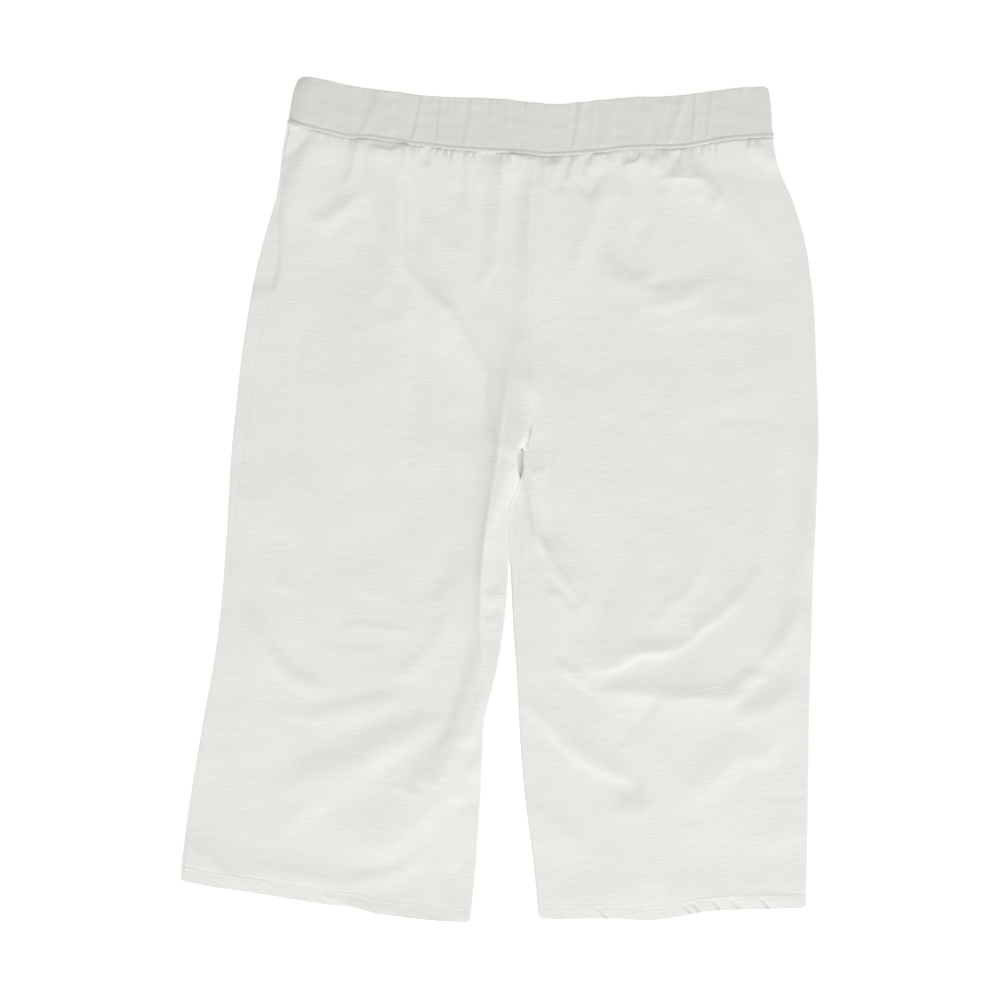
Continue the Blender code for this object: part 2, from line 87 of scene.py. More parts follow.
# %% The outline at each height
OUTLINE_COLUMNS = ("height", "left_outer", "left_inner", "right_inner", "right_outer")
OUTLINE = (
    (-430, -323, -30, 39.5, 305.5),
    (-377, -319, -24.5, 35, 307),
    (-297, -309, -19, 25, 308.5),
    (-257, -302.5, -17, 21.5, 309),
    (-217, -295.5, -14, 19, 309.5),
    (-197, -292, -9, 18, 310),
    (-177, -288, -4, 17, 310.5),
    (-137, -282, 3, 14, 312),
    (-97, -277.5, 7, 12, 313),
    (-57, -274.5, 8.5, 10.5, 314.5),
    (-20, -272, 8.5, 9.5, 316.5),
    (-5, -271.5, 9.5, 10.5, 317),
    (7, -270.5, 14, 15.5, 317.5),
    (18, -270, 18, 20.5, 318),
    (30, -269.5, 19, 22.5, 318),
    (47, -268, 19, 22.5, 319),
    (60, -267, 27, 27, 319),
    (74, -265.5, 29.5, 29.5, 319),
    (103, -262.5, 28, 28, 318),
    (143, -258, 29.5, 29.5, 316.5),
    (183, -252, 30.5, 30.5, 315),
    (223, -245, 32, 32, 311),
    (263, -235, 33.5, 33.5, 304),
    (283, -229, 34.5, 34.5, 298),
    (303, -223, 35.5, 35.5, 291),
    (323, -220, 36.5, 36.5, 282),
    (343, -218, 37.5, 37.5, 276),
    (377, -212, 39, 39, 273),
)
SEAM_TO_EDGE = (
    (-430, 3), (-137, 3.5), (-97, 4.5), (-57, 6.5), (-2, 7.5), (30, 10.5), (79, 13.5),
    (119, 13.5), (156, 15), (203, 18), (223, 19), (243, 18), (263, 13), (283, 7.5), (298, 4),
    (310, 3), (380, 3),
)
WAIST_SEAM = (
    (-230, 380), (-212, 376), (-190, 372), (-167, 366.5), (-150, 363), (-130, 362.5),
    (-107, 359), (-83, 355.5), (-47, 351.5), (-11, 349), (13, 348), (49, 345), (73, 346),
    (97, 348), (121, 351), (150, 352.5), (181, 353), (205, 357), (229, 361), (253, 363),
    (300, 364.5),
)
BAND_TOP = (
    (-215, 422.5), (-199, 422.5), (-183, 421), (-159, 415.5), (-135, 411), (-111, 408),
    (-63, 402.5), (-39, 401.5), (-15, 401), (9, 399.5), (33, 396.5), (57, 395), (81, 397),
    (105, 399.5), (129, 401.5), (177, 403.5), (225, 409.5), (249, 412), (265, 412.5),
    (280, 412),
)
BAND_ENDS_COLUMNS = ("share", "left", "right")
BAND_ENDS = (
    (0, -211.5, 272.5), (0.5, -208, 271.5), (0.8, -204.5, 270), (0.93, -201.5, 268.5),
    (0.97, -200, 267), (1, -196.5, 263),
)
LEFT_HEM = (
    (-325, -379.5), (-317, -381), (-293, -386), (-245, -393), (-197, -401), (-161, -406),
    (-149, -407), (-125, -413), (-89, -418), (-65, -420.5), (-41, -422), (-20, -423),
)
RIGHT_HEM = (
    (30, -417.5), (51, -419), (99, -418.5), (123, -419), (147, -420.5), (171, -418),
    (195, -413.5), (207, -411.5), (231, -410), (267, -409), (312, -408),
)
HEMS = {"left": LEFT_HEM, "right": RIGHT_HEM}
HEM_LINE, TOP_LINE = -405.0, 346.0


# %% [markdown]
# ## Reading the tables
#
# A pattern maker joins marked points with a curved rule. A cubic Hermite curve
# does the same: it meets every row of a table and has no corners.

# %% Curves through the rows of a table
def hermite(table, at):
    """Read a smooth curve through a table of (place, value) rows."""
    place, value = np.array(table, float).T
    slope = np.gradient(value, place)
    at = np.clip(np.asarray(at, float), place[0], place[-1])
    row = np.clip(np.searchsorted(place, at) - 1, 0, len(place) - 2)
    step = place[row + 1] - place[row]
    t = (at - place[row]) / step
    ends = value[row] * (2 * t**3 - 3 * t**2 + 1) + value[row + 1] * (3 * t**2 - 2 * t**3)
    return ends + step * (
        slope[row] * (t**3 - 2 * t**2 + t) + slope[row + 1] * (t**3 - t**2)
    )


def column(table, names, wanted):
    """Two columns of a wide table, the first one and the wanted one."""
    return [(row[0], row[names.index(wanted)]) for row in table]


def edge(name, y):
    return hermite(column(OUTLINE, OUTLINE_COLUMNS, name), y)


def ease(value, start, end):
    """0 before start, 1 after end, smooth between them."""
    t = np.clip((np.asarray(value, float) - start) / (end - start), 0, 1)
    return t * t * (3 - 2 * t)


print("width over the hips, mm:", round(float(edge("right_outer", 63) - edge("left_outer", 63))))

# %% [markdown]
# ## Folds
#
# A fold in laid cloth is a soft ridge along a curved spine. It is rarely even:
# one side falls steeply and the other runs out gently, and both ends fade. A
# crease pressed into the cloth is the same thing upside down. So one formula
# serves every fold, and a table holds what differs: the spine, the height, and
# the width to the left and right of someone who walks along the spine.

# %% Folds of the leg at the left
FOLD_COLUMNS = ("name", "spine", "height", "left_width", "right_width", "crest")
SHARP, SOFT, ROUND = 1.2, 1.7, 2.2       # how a crest looks in section
LEFT_FOLDS = (
    ("inner leg roll", ((27, 184), (16, 136), (10, 96), (12, 57), (4, 18), (1, -22), (-18, -68)),
     5.5, 30, 18, SOFT),
    ("inner leg roll, low", ((-6, 26), (-13, -27), (-18, -68), (-20, -108), (-19, -148),
     (-17, -170)), 3, 16, 5, SHARP),
    ("roll facet", ((34, 84), (18, 45), (8, 25), (-3, 2), (-11, -25), (-16, -52)),
     2, 8, 40, ROUND),
    ("roll tip", ((31, 65), (18, 60), (8, 37)), 2, 12, 30, ROUND),
    ("roll runs out", ((-11, -136), (-20, -172), (-31, -207), (-42, -241), (-60, -280)),
     3.8, 34, 9, SOFT),
    ("lump nick", ((-11, -96), (-7, -87), (3, -83)), -0.6, 8, 8, ROUND),
    ("low lump nick", ((-12, -121), (-9, -114), (4, -106)), -0.5, 5, 6, ROUND),
    ("edge notch lower", ((-48, -312), (-33, -304), (-18, -298)), -0.7, 7, 7, ROUND),
    ("edge bulge", ((-14, -178), (-26, -222), (-36, -251)), 1.6, 12, 8, SOFT),
    ("corner sag", ((-27, -338), (-33, -370), (-58, -385)), -1.6, 38, 11, ROUND),
    ("hip crease", ((-126, 262), (-99, 237), (-82, 218), (-65, 203), (-50, 185), (-28, 166)),
     3, 11, 48, SHARP),
    ("thigh edge", ((-62, 210), (-50, 174), (-31, 152), (-17, 129), (-8, 102), (-5, 79)),
     1.4, 8, 22, ROUND),
    ("valley by the roll", ((-10, 152), (-17, 100), (-9, 49), (-16, -11), (-25, -74)),
     -2.6, 6, 70, ROUND),
    ("facing edge", ((-197, 205), (-200, 150), (-203, 100), (-208, 60), (-209, 18)),
     -0.6, 5, 6, ROUND),
    ("bag edge", ((-77, 206), (-81, 156), (-84, 106), (-85, 55)), -1.3, 11, 8, ROUND),
    ("thigh bump", ((-60, 78), (-46, 93), (-23, 87)), 0.8, 8, 6, ROUND),
    ("thigh nick", ((-45, 66), (-37, 63), (-29, 66)), -0.4, 5, 3, ROUND),
    ("thigh shade", ((-75, 132), (-61, 138), (-44, 138)), -0.4, 10, 4, ROUND),
    ("thigh dot", ((-95, 35), (-89, 37), (-84, 36)), -0.4, 4, 2, ROUND),
    ("waist corner", ((-187, 374), (-198, 355), (-210, 346), (-230, 332)), -2.5, 7, 22, SHARP),
    ("corner nick", ((-224, 320), (-218, 320), (-211, 320)), -0.8, 9, 7, SHARP),
    ("corner side", ((-217, 343), (-221, 308), (-228, 280)), -1.2, 5, 9, ROUND),
    ("tuck line", ((-136, 373), (-144, 345), (-149, 326), (-162, 302)), 2.3, 36, 5, SHARP),
    ("hip line", ((-96, 343), (-92, 324), (-89, 290), (-90, 250), (-87, 236)), 1.6, 4, 22, SHARP),
    ("hip line gather", ((-90, 353), (-90, 343), (-86, 332)), 0.5, 4, 3, ROUND),
    ("hip wedge", ((-199, 274), (-170, 281), (-153, 294), (-127, 309)), 2, 8, 12, SOFT),
    ("hip wedge, upper", ((-165, 319), (-155, 306), (-147, 299)), -0.4, 4, 12, ROUND),
    ("hip fan", ((-172, 252), (-151, 265), (-141, 284)), 0.4, 5, 8, ROUND),
    ("belly rib 1", ((-37, 347), (-37, 319), (-39, 283)), -0.7, 3, 6, ROUND),
    ("belly rib 2", ((-10, 374), (-17, 309), (-14, 228)), -1.9, 15, 8, ROUND),
    ("belly rib 3", ((1, 352), (2, 314), (-4, 245)), 2.2, 10, 12, SHARP),
    ("belly bright", ((-52, 301), (-45, 307), (-36, 305)), -0.6, 6, 7, SOFT),
    ("belly nick", ((-81, 283), (-68, 274), (-56, 280)), 0.6, 4, 7, ROUND),
    ("belly line", ((-82, 275), (-59, 262), (-47, 250), (-29, 250)), 1.4, 7, 52, SOFT),
    ("crease 1", ((-148, 253), (-134, 253), (-116, 248)), -0.9, 17, 5, SHARP),
    ("crease 2", ((-138, 238), (-124, 243), (-112, 238)), -0.3, 6, 6, ROUND),
    ("crease 3", ((-97, 226), (-106, 204), (-110, 176)), -1, 10, 12, ROUND),
    ("crease 4", ((-160, 194), (-146, 184), (-142, 167)), -0.6, 7, 4, ROUND),
    ("outer arc 2", ((-266, -90), (-245, -123), (-233, -149), (-214, -171), (-194, -184),
     (-161, -193)), 2, 8, 11, ROUND),
    ("shin ridge 1", ((-205, -217), (-172, -213), (-145, -207), (-117, -202), (-94, -203)),
     1.2, 8, 15, ROUND),
    ("shin ridge 1, low", ((-222, -211), (-197, -218), (-168, -222)), 0.9, 8, 6, SHARP),
    ("knee ridge", ((-97, -185), (-94, -172), (-73, -154), (-56, -129), (-46, -105)),
     1, 9, 12, ROUND),
    ("knee ridge 2", ((-69, -105), (-57, -100), (-38, -84), (-27, -60)), 0.7, 9, 35, ROUND),
    ("shin ridge 2", ((-232, -310), (-203, -288), (-163, -276), (-131, -251), (-98, -234),
     (-65, -230)), 2.1, 18, 22, ROUND),
    ("shin ridge 2, crest", ((-159, -278), (-117, -252), (-87, -236), (-49, -219)),
     1.2, 14, 11, ROUND),
    ("shin ridge 3", ((-171, -373), (-139, -348), (-110, -344), (-86, -323), (-61, -301),
     (-37, -281), (-13, -261)), 2.8, 50, 20, SOFT),
    ("shin hollow, end", ((-91, -278), (-72, -282), (-60, -290)), 0.8, 15, 4, SOFT),
    ("shin line 2", ((-114, -288), (-97, -290), (-74, -295)), 0.5, 6, 3, SOFT),
    ("hem sweep", ((-256, -368), (-221, -370), (-186, -378), (-152, -383), (-117, -374),
     (-91, -371)), 0.7, 7, 11, SOFT),
    ("ankle dash", ((-314, -331), (-291, -359), (-270, -376), (-242, -383)), 0.8, 8, 9, ROUND),
    ("knee line", ((-172, -131), (-147, -125), (-127, -127), (-104, -130), (-79, -131)),
     0.6, 3, 8, SOFT),
    ("knee dash", ((-199, -72), (-188, -87), (-170, -102)), -0.5, 6, 4, ROUND),
    ("knee line 2", ((-167, -81), (-128, -94), (-93, -103)), 0.5, 10, 5, ROUND),
    ("lifted hem", ((-161, -413), (-120, -417), (-76, -428), (-14, -424)), 2, 18, 16, ROUND),
    ("outer arc 1", ((-262, 24), (-248, -6), (-241, -36), (-234, -62), (-224, -81), (-206, -91),
     (-177, -91)), 1.1, 16, 6, ROUND),
    ("shin streak", ((-206, -268), (-180, -260), (-146, -258)), 0.5, 6, 20, ROUND),
    ("shin streak, low", ((-222, -331), (-199, -314), (-166, -292)), 1, 10, 11, ROUND),
    ("shin spot", ((-90, -218), (-70, -222), (-48, -221)), 0.7, 8, 18, ROUND),
    ("shin ridge 1, foot", ((-182, -227), (-138, -213), (-90, -195)), 0.4, 12, 9, ROUND),
    ("shin shoulder", ((-107, -294), (-81, -294), (-63, -284), (-53, -264), (-39, -239)),
     1.4, 20, 18, SOFT),
    ("hem sweep, foot", ((-165, -378), (-126, -380), (-97, -369), (-59, -346)), 0.9, 8, 10, ROUND),
    ("lifted hem, end", ((-179, -396), (-156, -403), (-131, -411)), 0.6, 7, 3, ROUND),
    ("edge notch upper", ((-35, -275), (-26, -269), (-15, -256), (-6, -242)), 1.3, 8, 14, ROUND),
    ("knee trough", ((-47, -36), (-56, -65), (-69, -86), (-86, -103)), -1.1, 10, 14, ROUND),
    ("hip dimple", ((-125, 273), (-108, 278), (-94, 279)), 2.4, 42, 50, ROUND),
    ("hip crease, start", ((-128, 269), (-112, 260), (-98, 240), (-82, 220)), 1.2, 18, 7, SOFT),
    ("hip crease, low", ((-79, 212), (-54, 193), (-42, 176), (-22, 147)), 1, 5, 8, ROUND),
    ("belly rib 4", ((-9, 317), (-6, 272), (-4, 241), (-15, 220), (-29, 198)), 0.7, 5, 7, ROUND),
    ("front fold foot", ((7, 158), (20, 159), (31, 162)), 0.6, 4, 12, SHARP),
    ("thigh swell", ((-52, 41), (-34, 45), (-8, 48)), 0.7, 20, 20, ROUND),
    ("bag foot", ((-271, -10), (-251, -3), (-237, 1), (-221, 17)), 0.7, 34, 11, SOFT),
    ("roll, dark side", ((4, 131), (2, 88), (-5, 43), (-13, -7), (-19, -62), (-20, -112),
     (-23, -150)), 1.2, 6, 9, SHARP),
    ("roll, low side", ((-19, -127), (-28, -169), (-39, -204), (-51, -238), (-71, -270)),
     1.4, 6, 7, ROUND),
    ("edge foot", ((-27, 180), (-15, 148), (0, 123), (-4, 85)), -1, 18, 9, ROUND),
    ("hip side", ((-190, 384), (-193, 342), (-207, 308), (-203, 258)), 2.2, 20, 10, ROUND),
    ("knee soft", ((-198, -139), (-159, -153), (-111, -152)), 0.3, 6, 4, ROUND),
    ("waist tuck", ((-136, 352), (-121, 350), (-108, 348), (-97, 352), (-88, 353)),
     2.4, 3, 30, SOFT),
    ("gather line", ((-67, 357), (-73, 346), (-72, 333)), -1.1, 3, 5, SOFT),
    ("gather vee", ((-97, 353), (-94, 335), (-89, 316), (-86, 296)), 1, 28, 5, SHARP),
    ("gather shade", ((-28, 321), (-10, 317), (4, 322)), 1.4, 26, 16, ROUND),
    ("front tuck", ((6, 349), (23, 340), (42, 338)), 1.2, 4, 14, SHARP),
    ("roll wedge", ((-18, -102), (-6, -98), (9, -97)), 0.9, 11, 8, SHARP),
    ("roll wedge, low", ((-18, -125), (-9, -120), (2, -115)), 0.3, 16, 4, SHARP),
    ("facet edge", ((19, 37), (13, 8), (3, -15), (-6, -35), (-18, -44)), -0.8, 6, 14, SOFT),
    ("roll crest", ((14, 149), (8, 121), (3, 84), (-1, 47), (-9, 4), (-14, -29), (-17, -61),
     (-17, -101), (-22, -141)), 1.2, 2, 10, SHARP),
)

# %% Folds of the leg at the right
RIGHT_FOLDS = (
    ("crotch fold", ((32, 79), (26, 56), (23, 41), (23, 28), (26, 12), (29, -1), (33, -21),
     (37, -41), (46, -56), (53, -74), (63, -86), (72, -96), (81, -104)), 3.4, 13, 2.8, SHARP),
    ("crotch pad foot", ((37, -37), (55, -33), (81, -22)), -3.2, 36, 27, SOFT),
    ("inner thigh shade", ((64, -48), (84, -80), (77, -106)), -0.6, 38, 18, ROUND),
    ("inner thigh flap", ((42, -95), (61, -98), (72, -111), (90, -113)), 1.7, 11, 15, SOFT),
    ("inner knee valley", ((115, -78), (103, -106), (98, -130), (96, -169)), -1, 6, 12, ROUND),
    ("knee crest", ((80, -173), (96, -172), (117, -167), (140, -154), (163, -153), (184, -146),
     (199, -132), (218, -119), (235, -104), (259, -95)), 1.5, 11, 4, SOFT),
    ("knee crest, flank", ((104, -161), (131, -152), (157, -148), (172, -143)), 0.8, 24, 8, ROUND),
    ("knee ridge", ((94, -205), (108, -192), (134, -193), (164, -199), (199, -199), (231, -200),
     (246, -196)), 2.9, 16, 27, SHARP),
    ("knee ridge hook", ((220, -211), (238, -189), (249, -179), (268, -172)), 1.3, 8, 7, ROUND),
    ("knee ridge, outer", ((220, -205), (245, -195), (256, -181), (272, -174)), 0.4, 12, 3, ROUND),
    ("knee side ridge", ((228, -221), (252, -213), (273, -206), (310, -176)), 2.6, 16, 14, SOFT),
    ("knee left line", ((54, -164), (68, -172), (83, -184), (104, -202)), 0.9, 7, 4, ROUND),
    ("knee left nick", ((54, -161), (67, -158), (74, -176)), -0.4, 12, 4, ROUND),
    ("knee fork", ((165, -188), (149, -210), (140, -223), (121, -235)), -1.7, 6, 18, SHARP),
    ("outer knee ridge", ((256, -154), (268, -158), (283, -143), (293, -121), (306, -95)),
     1.1, 8, 8, ROUND),
    ("outer thigh trough", ((297, 75), (295, 12), (287, -37), (273, -89)), -2.2, 14, 11, ROUND),
    ("thigh ridge", ((143, -129), (159, -119), (174, -102), (199, -90)), 0.8, 7, 10, ROUND),
    ("thigh ridge, pit", ((130, -118), (159, -134), (184, -137), (200, -134)),
     -2.2, 24, 30, SHARP),
    ("thigh bulge", ((200, -31), (202, -69), (181, -106)), 0.9, 7, 10, ROUND),
    ("outer thigh ridge", ((218, -119), (240, -97), (251, -82), (267, -63)), 1.2, 7, 17, SOFT),
    ("thigh soft line", ((152, -78), (163, -74), (179, -65)), -0.7, 10, 7, ROUND),
    ("shin ridge, tip", ((98, -268), (122, -277), (136, -281)), 0.4, 7, 4, ROUND),
    ("shin ridge, outer", ((188, -311), (209, -284), (236, -260), (264, -253), (278, -231),
     (306, -199)), 2, 23, 13, ROUND),
    ("shin dent", ((119, -303), (135, -292), (145, -312)), -0.8, 37, 8, ROUND),
    ("shin line", ((23, -278), (55, -280), (66, -303), (84, -339)), -1.3, 80, 8, SHARP),
    ("ankle line", ((265, -297), (290, -299), (309, -296)), -0.4, 11, 2, ROUND),
    ("ankle nick", ((182, -325), (193, -320), (205, -322)), -0.5, 15, 4, SHARP),
    ("shin small line", ((61, -175), (73, -204), (80, -230)), -0.8, 62, 3, SHARP),
    ("press crease", ((140, -272), (148, -336), (163, -408)), 2.3, 7, 22, SOFT),
    ("front fold", ((36, 352), (34, 318), (32, 296), (29, 257), (30, 217), (27, 142)),
     4, 74, 9, SOFT),
    ("hip crease", ((126, 218), (145, 209), (157, 203), (183, 205), (215, 211), (246, 214)),
     1.7, 10, 23, ROUND),
    ("hip crease, upper", ((124, 231), (122, 218), (139, 217), (165, 229)), 1.4, 8, 12, ROUND),
    ("hip soft", ((94, 256), (121, 245), (118, 231)), -1.6, 15, 10, ROUND),
    ("hip dash", ((222, 189), (244, 185), (264, 188)), 0.5, 5, 7, ROUND),
    ("side shade", ((254, 284), (267, 249), (278, 215), (268, 191)), -0.4, 43, 80, SHARP),
    ("side shade 2", ((227, 330), (249, 283), (281, 230)), 1.3, 8, 12, ROUND),
    ("belly shade", ((154, 282), (137, 265), (134, 244)), -0.7, 8, 7, ROUND),
    ("belly shade 2", ((127, 294), (108, 282), (111, 248)), -1.4, 20, 13, ROUND),
    ("waist dash", ((72, 341), (67, 328), (66, 317)), -0.6, 3, 5, ROUND),
    ("waist dash 2", ((49, 307), (57, 313), (66, 312)), -0.5, 4, 4, ROUND),
    ("wing, right", ((112, 337), (97, 319), (91, 308), (84, 301)), -1.6, 6, 20, SOFT),
    ("wing, left", ((78, 303), (80, 310), (84, 312)), -0.5, 8, 3, ROUND),
    ("wing spur", ((101, 353), (87, 341), (82, 320)), -0.8, 3, 3, ROUND),
    ("wedge ridge", ((149, 315), (179, 319), (194, 317), (212, 329)), 3.6, 27, 25, SOFT),
    ("wedge valley", ((182, 343), (175, 339), (166, 317)), -1.2, 7, 5, ROUND),
    ("thigh arc", ((219, 51), (216, 79), (239, 81), (260, 82), (290, 72)), -0.9, 14, 7, SOFT),
    ("thigh dash", ((100, 76), (112, 72), (123, 65)), -0.5, 12, 3, ROUND),
    ("thigh dash 2", ((141, 84), (151, 89), (161, 90)), -0.5, 7, 3, ROUND),
    ("thigh dash 3", ((77, 113), (90, 122), (101, 116)), -0.6, 8, 6, ROUND),
    ("thigh dash 4", ((233, 105), (244, 113), (259, 120)), -0.4, 7, 5, ROUND),
    ("thigh shade", ((57, 133), (73, 131), (88, 133)), -0.6, 18, 8, ROUND),
    ("crotch lump", ((21, 109), (31, 112), (39, 114)), 1.5, 21, 13, ROUND),
    ("pad side", ((46, 106), (52, 63), (50, 18), (54, -22)), -0.4, 2.5, 2.5, ROUND),
    ("pad foot ridge", ((41, -52), (54, -46), (70, -45)), 0.9, 10, 12, ROUND),
    ("knee crest, broad", ((69, -175), (91, -169), (141, -157), (187, -142)), 1.6, 40, 14, ROUND),
    ("knee ridge, broad", ((86, -196), (138, -190), (188, -191), (242, -191)), 1.3, 10, 9, SOFT),
    ("shin ridge", ((-9, -191), (31, -208), (57, -235), (80, -255), (105, -270), (126, -277),
     (139, -271)), 2.2, 15, 9, ROUND),
    ("shin swell, inner", ((15, -287), (42, -319), (66, -336), (82, -371)), 1.3, 12, 17, ROUND),
    ("shin dent ridge", ((111, -310), (131, -315), (151, -312)), 0.8, 21, 7, ROUND),
    ("shin side", ((196, -271), (189, -311), (183, -354)), 0.6, 14, 8, ROUND),
    ("ankle light", ((262, -348), (282, -339), (312, -329)), 0.8, 20, 8, ROUND),
    ("ankle inner line", ((24, -344), (45, -345), (66, -344)), 0.3, 9, 4, ROUND),
    ("belly ridge", ((97, 317), (95, 280), (81, 248), (65, 199)), 1, 10, 9, ROUND),
    ("hip step nick", ((141, 215), (154, 216), (170, 221)), -0.9, 4, 4, ROUND),
    ("hip rim", ((189, 221), (215, 224), (239, 217), (263, 204)), 0.3, 2, 9, ROUND),
    ("hip line", ((151, 193), (173, 197), (202, 206)), 0.8, 5, 8, ROUND),
    ("hip spot", ((191, 184), (219, 187), (248, 185)), 0.8, 12, 9, ROUND),
    ("hip step, crest", ((162, 177), (195, 180), (230, 178), (265, 172)), 0.5, 8, 6, ROUND),
    ("hip side line", ((154, 202), (141, 187), (128, 165)), 0.4, 5, 10, ROUND),
    ("knee dark", ((100, -194), (140, -190), (190, -190), (238, -190)), -0.7, 10, 5, ROUND),
    ("outer edge swell", ((310, 85), (304, 20), (309, -40), (309, -102)), 1.7, 20, 14, ROUND),
    ("above the hem", ((194, -400), (234, -396), (279, -397), (319, -399)), 0.5, 4, 8, ROUND),
    ("thigh soft band", ((203, 92), (236, 86), (276, 85), (312, 75)), 0.5, 20, 7, ROUND),
    ("pit line", ((138, -127), (161, -134), (191, -143), (206, -134)), 0.3, 14, 4, ROUND),
    ("thigh trough", ((277, -62), (278, -104), (276, -151)), -1.5, 10, 12, ROUND),
    ("tuck", ((120, 333), (128, 335), (137, 338), (145, 350)), 2.3, 3.5, 16, SHARP),
    ("tuck, right", ((148, 334), (155, 336), (166, 347)), 1.5, 7, 9, ROUND),
    ("front dash", ((40, 333), (52, 333), (66, 336)), 1.3, 4, 14, SOFT),
    ("gather diagonal", ((80, 343), (70, 331), (68, 311)), 1.1, 12, 4, SHARP),
    ("gather diagonal 2", ((95, 350), (95, 338), (84, 329)), 1.4, 13, 6, ROUND),
    ("gather line, side", ((249, 361), (248, 353), (248, 345)), 0.8, 4, 2, SOFT),
    ("side gather", ((245, 351), (264, 346), (281, 328)), 1.6, 8, 12, ROUND),
    ("chevron", ((199, 321), (217, 307), (227, 301)), 1.1, 10, 11, SHARP),
    ("chevron, low", ((205, 293), (217, 297), (229, 302)), 1.6, 7, 16, SOFT),
    ("wedge crest", ((158, 320), (176, 321), (194, 320), (213, 319)), 1.3, 9, 3.5, SHARP),
    ("crotch crest", ((29, -16), (39, -41), (53, -65), (67, -84), (82, -105), (88, -111)),
     0.9, 9, 2, SHARP),
    ("pad arch", ((30, 24), (38, 27), (49, 27)), 1, 5, 12, SHARP),
    ("pad top", ((25, 70), (35, 71), (49, 71)), 0.4, 6, 10, ROUND),
    ("flap corner", ((42, -97), (54, -97), (67, -106)), 0.4, 5, 4, SOFT),
    ("pad edge", ((18, 14), (25, -8), (31, -34), (41, -58), (56, -84)), -0.8, 3, 5, ROUND),
    ("crotch hook", ((30, 80), (30, 72), (29, 64), (27, 56), (23, 50)), -4.0, 1, 1, ROUND),
    ("inseam line", ((22.5, 19), (23, -6), (22, -21), (19.5, -56), (17, -91), (15.5, -116)),
     -0.5, 0.9, 0.9, ROUND),
)
print("folds:", len(LEFT_FOLDS) + len(RIGHT_FOLDS))


# %% [markdown]
# ## From a spine to a height
#
# For each point of the cloth the nearest place on the spine is found. The
# distance to it gives the height by a bell curve, and how far along it lies
# fades the fold out at its ends. Points far from a fold are left out, which
# keeps so many folds quick.

# %% The height that one fold adds
SPINE_POINTS = 28
FAR = 4.0              # a fold ends this many widths from its spine
END_FADE = 0.28        # and fades over this share of the spine at both ends


def spine_points(spine):
    """Points on a smooth curve through a fold's spine."""
    t = np.linspace(0, len(spine) - 1, SPINE_POINTS)
    knots = range(len(spine))
    return np.column_stack(
        [hermite([(k, spine[k][axis]) for k in knots], t) for axis in (0, 1)]
    )


def fold_height(x, y, spine, height, left_width, right_width, crest):
    """A ridge, or a trough where the height is negative."""
    points = spine_points(spine)
    reach = FAR * max(left_width, right_width)
    low, high = points.min(0) - reach, points.max(0) + reach
    near_by = (x > low[0]) & (x < high[0]) & (y > low[1]) & (y < high[1])
    total = np.zeros(np.shape(x))
    if not near_by.any():
        return total
    start, run = points[:-1], np.diff(points, axis=0)
    here = np.column_stack([x[near_by], y[near_by]])[:, None, :]
    along = np.clip(((here - start) * run).sum(2) / (run**2).sum(1), 0, 1)
    offset = here - (start + along[..., None] * run)
    away = np.hypot(offset[..., 0], offset[..., 1])
    nearest = away.argmin(1)
    each = np.arange(len(nearest))
    near, offset = away[each, nearest], offset[each, nearest]
    run_there = run[nearest]
    is_left = run_there[:, 0] * offset[:, 1] - run_there[:, 1] * offset[:, 0] > 0
    width = np.where(is_left, left_width, right_width)
    share = (nearest + along[each, nearest]) / len(run)
    fade = ease(share, 0, END_FADE) * ease(1 - share, 0, END_FADE)
    bell = np.exp(-((near / width) ** crest)) * ease(FAR - near / width, 0, 1.5)
    total[near_by] = height * fade * bell
    return total


# %% [markdown]
# ## Gathers and the small unevenness of cloth
#
# The panels are wider than the elastic, so the machine pushes them into
# gathers: a few that run down the cloth, and combs of very small nicks right
# under the seam. The places of the nicks come from a seeded random generator,
# because real ones keep no rhythm. Value noise adds the faint waves that no
# hand smooths away, longer across the cloth than along it.

# %% Gathers under the waist seam
GATHER_COLUMNS = ("place", "length", "height", "width", "lean")
GATHERS = (
    (-168, 14, 0.5, 4, 0.1), (-149.5, 7, -1.5, 2.4, 0.1), (-144, 3, -0.9, 2, 0),
    (-94, 26, 1.0, 4, 0), (-84, 20, 0.9, 4, 0), (-60, 16, 0.9, 4, 0), (-63, 5, -1.3, 1.5, 0.2),
    (-55, 5, -1.4, 1.5, 0.2), (-48.5, 8, -1.6, 1.7, 0.2), (-25, 6, -1.0, 3.4, 0),
    (-4, 13, -0.9, 6.5, 0), (24, 10, 0.6, 3, 0), (51.5, 4, -1.2, 4.5, 0),
    (60, 20, 0.7, 4, 0.3), (71.5, 5, -1.3, 1.6, 0), (118, 14, 0.7, 5, 0.3),
    (163.5, 3.5, -1.3, 2.4, 0.3), (191, 4, -1.2, 1.4, 0), (201, 7, -1.3, 1.5, 0.1),
    (215, 10, -1.3, 1.6, 0.1), (212, 12, 0.6, 2.5, 0), (248, 7, -1.2, 1.5, 0.1),
    (256, 3.5, -1.2, 1.6, 0),
)
COMB_COLUMNS = ("first", "last", "depth")
COMBS = (
    (-206, -184, 0.3), (-180, -152, 1.0), (-99, -76, 1.5), (-66, -20, 1.5), (-18, 4, 0.8),
    (4, 14, 1.6), (40, 72, 0.9), (76, 100, 0.8), (100, 112, 1.3), (112, 162, 0.8),
    (164, 204, 0.9), (206, 238, 0.6), (240, 266, 0.9),
)
COMB_SPACING, COMB_LENGTH = 3.0, 5.0


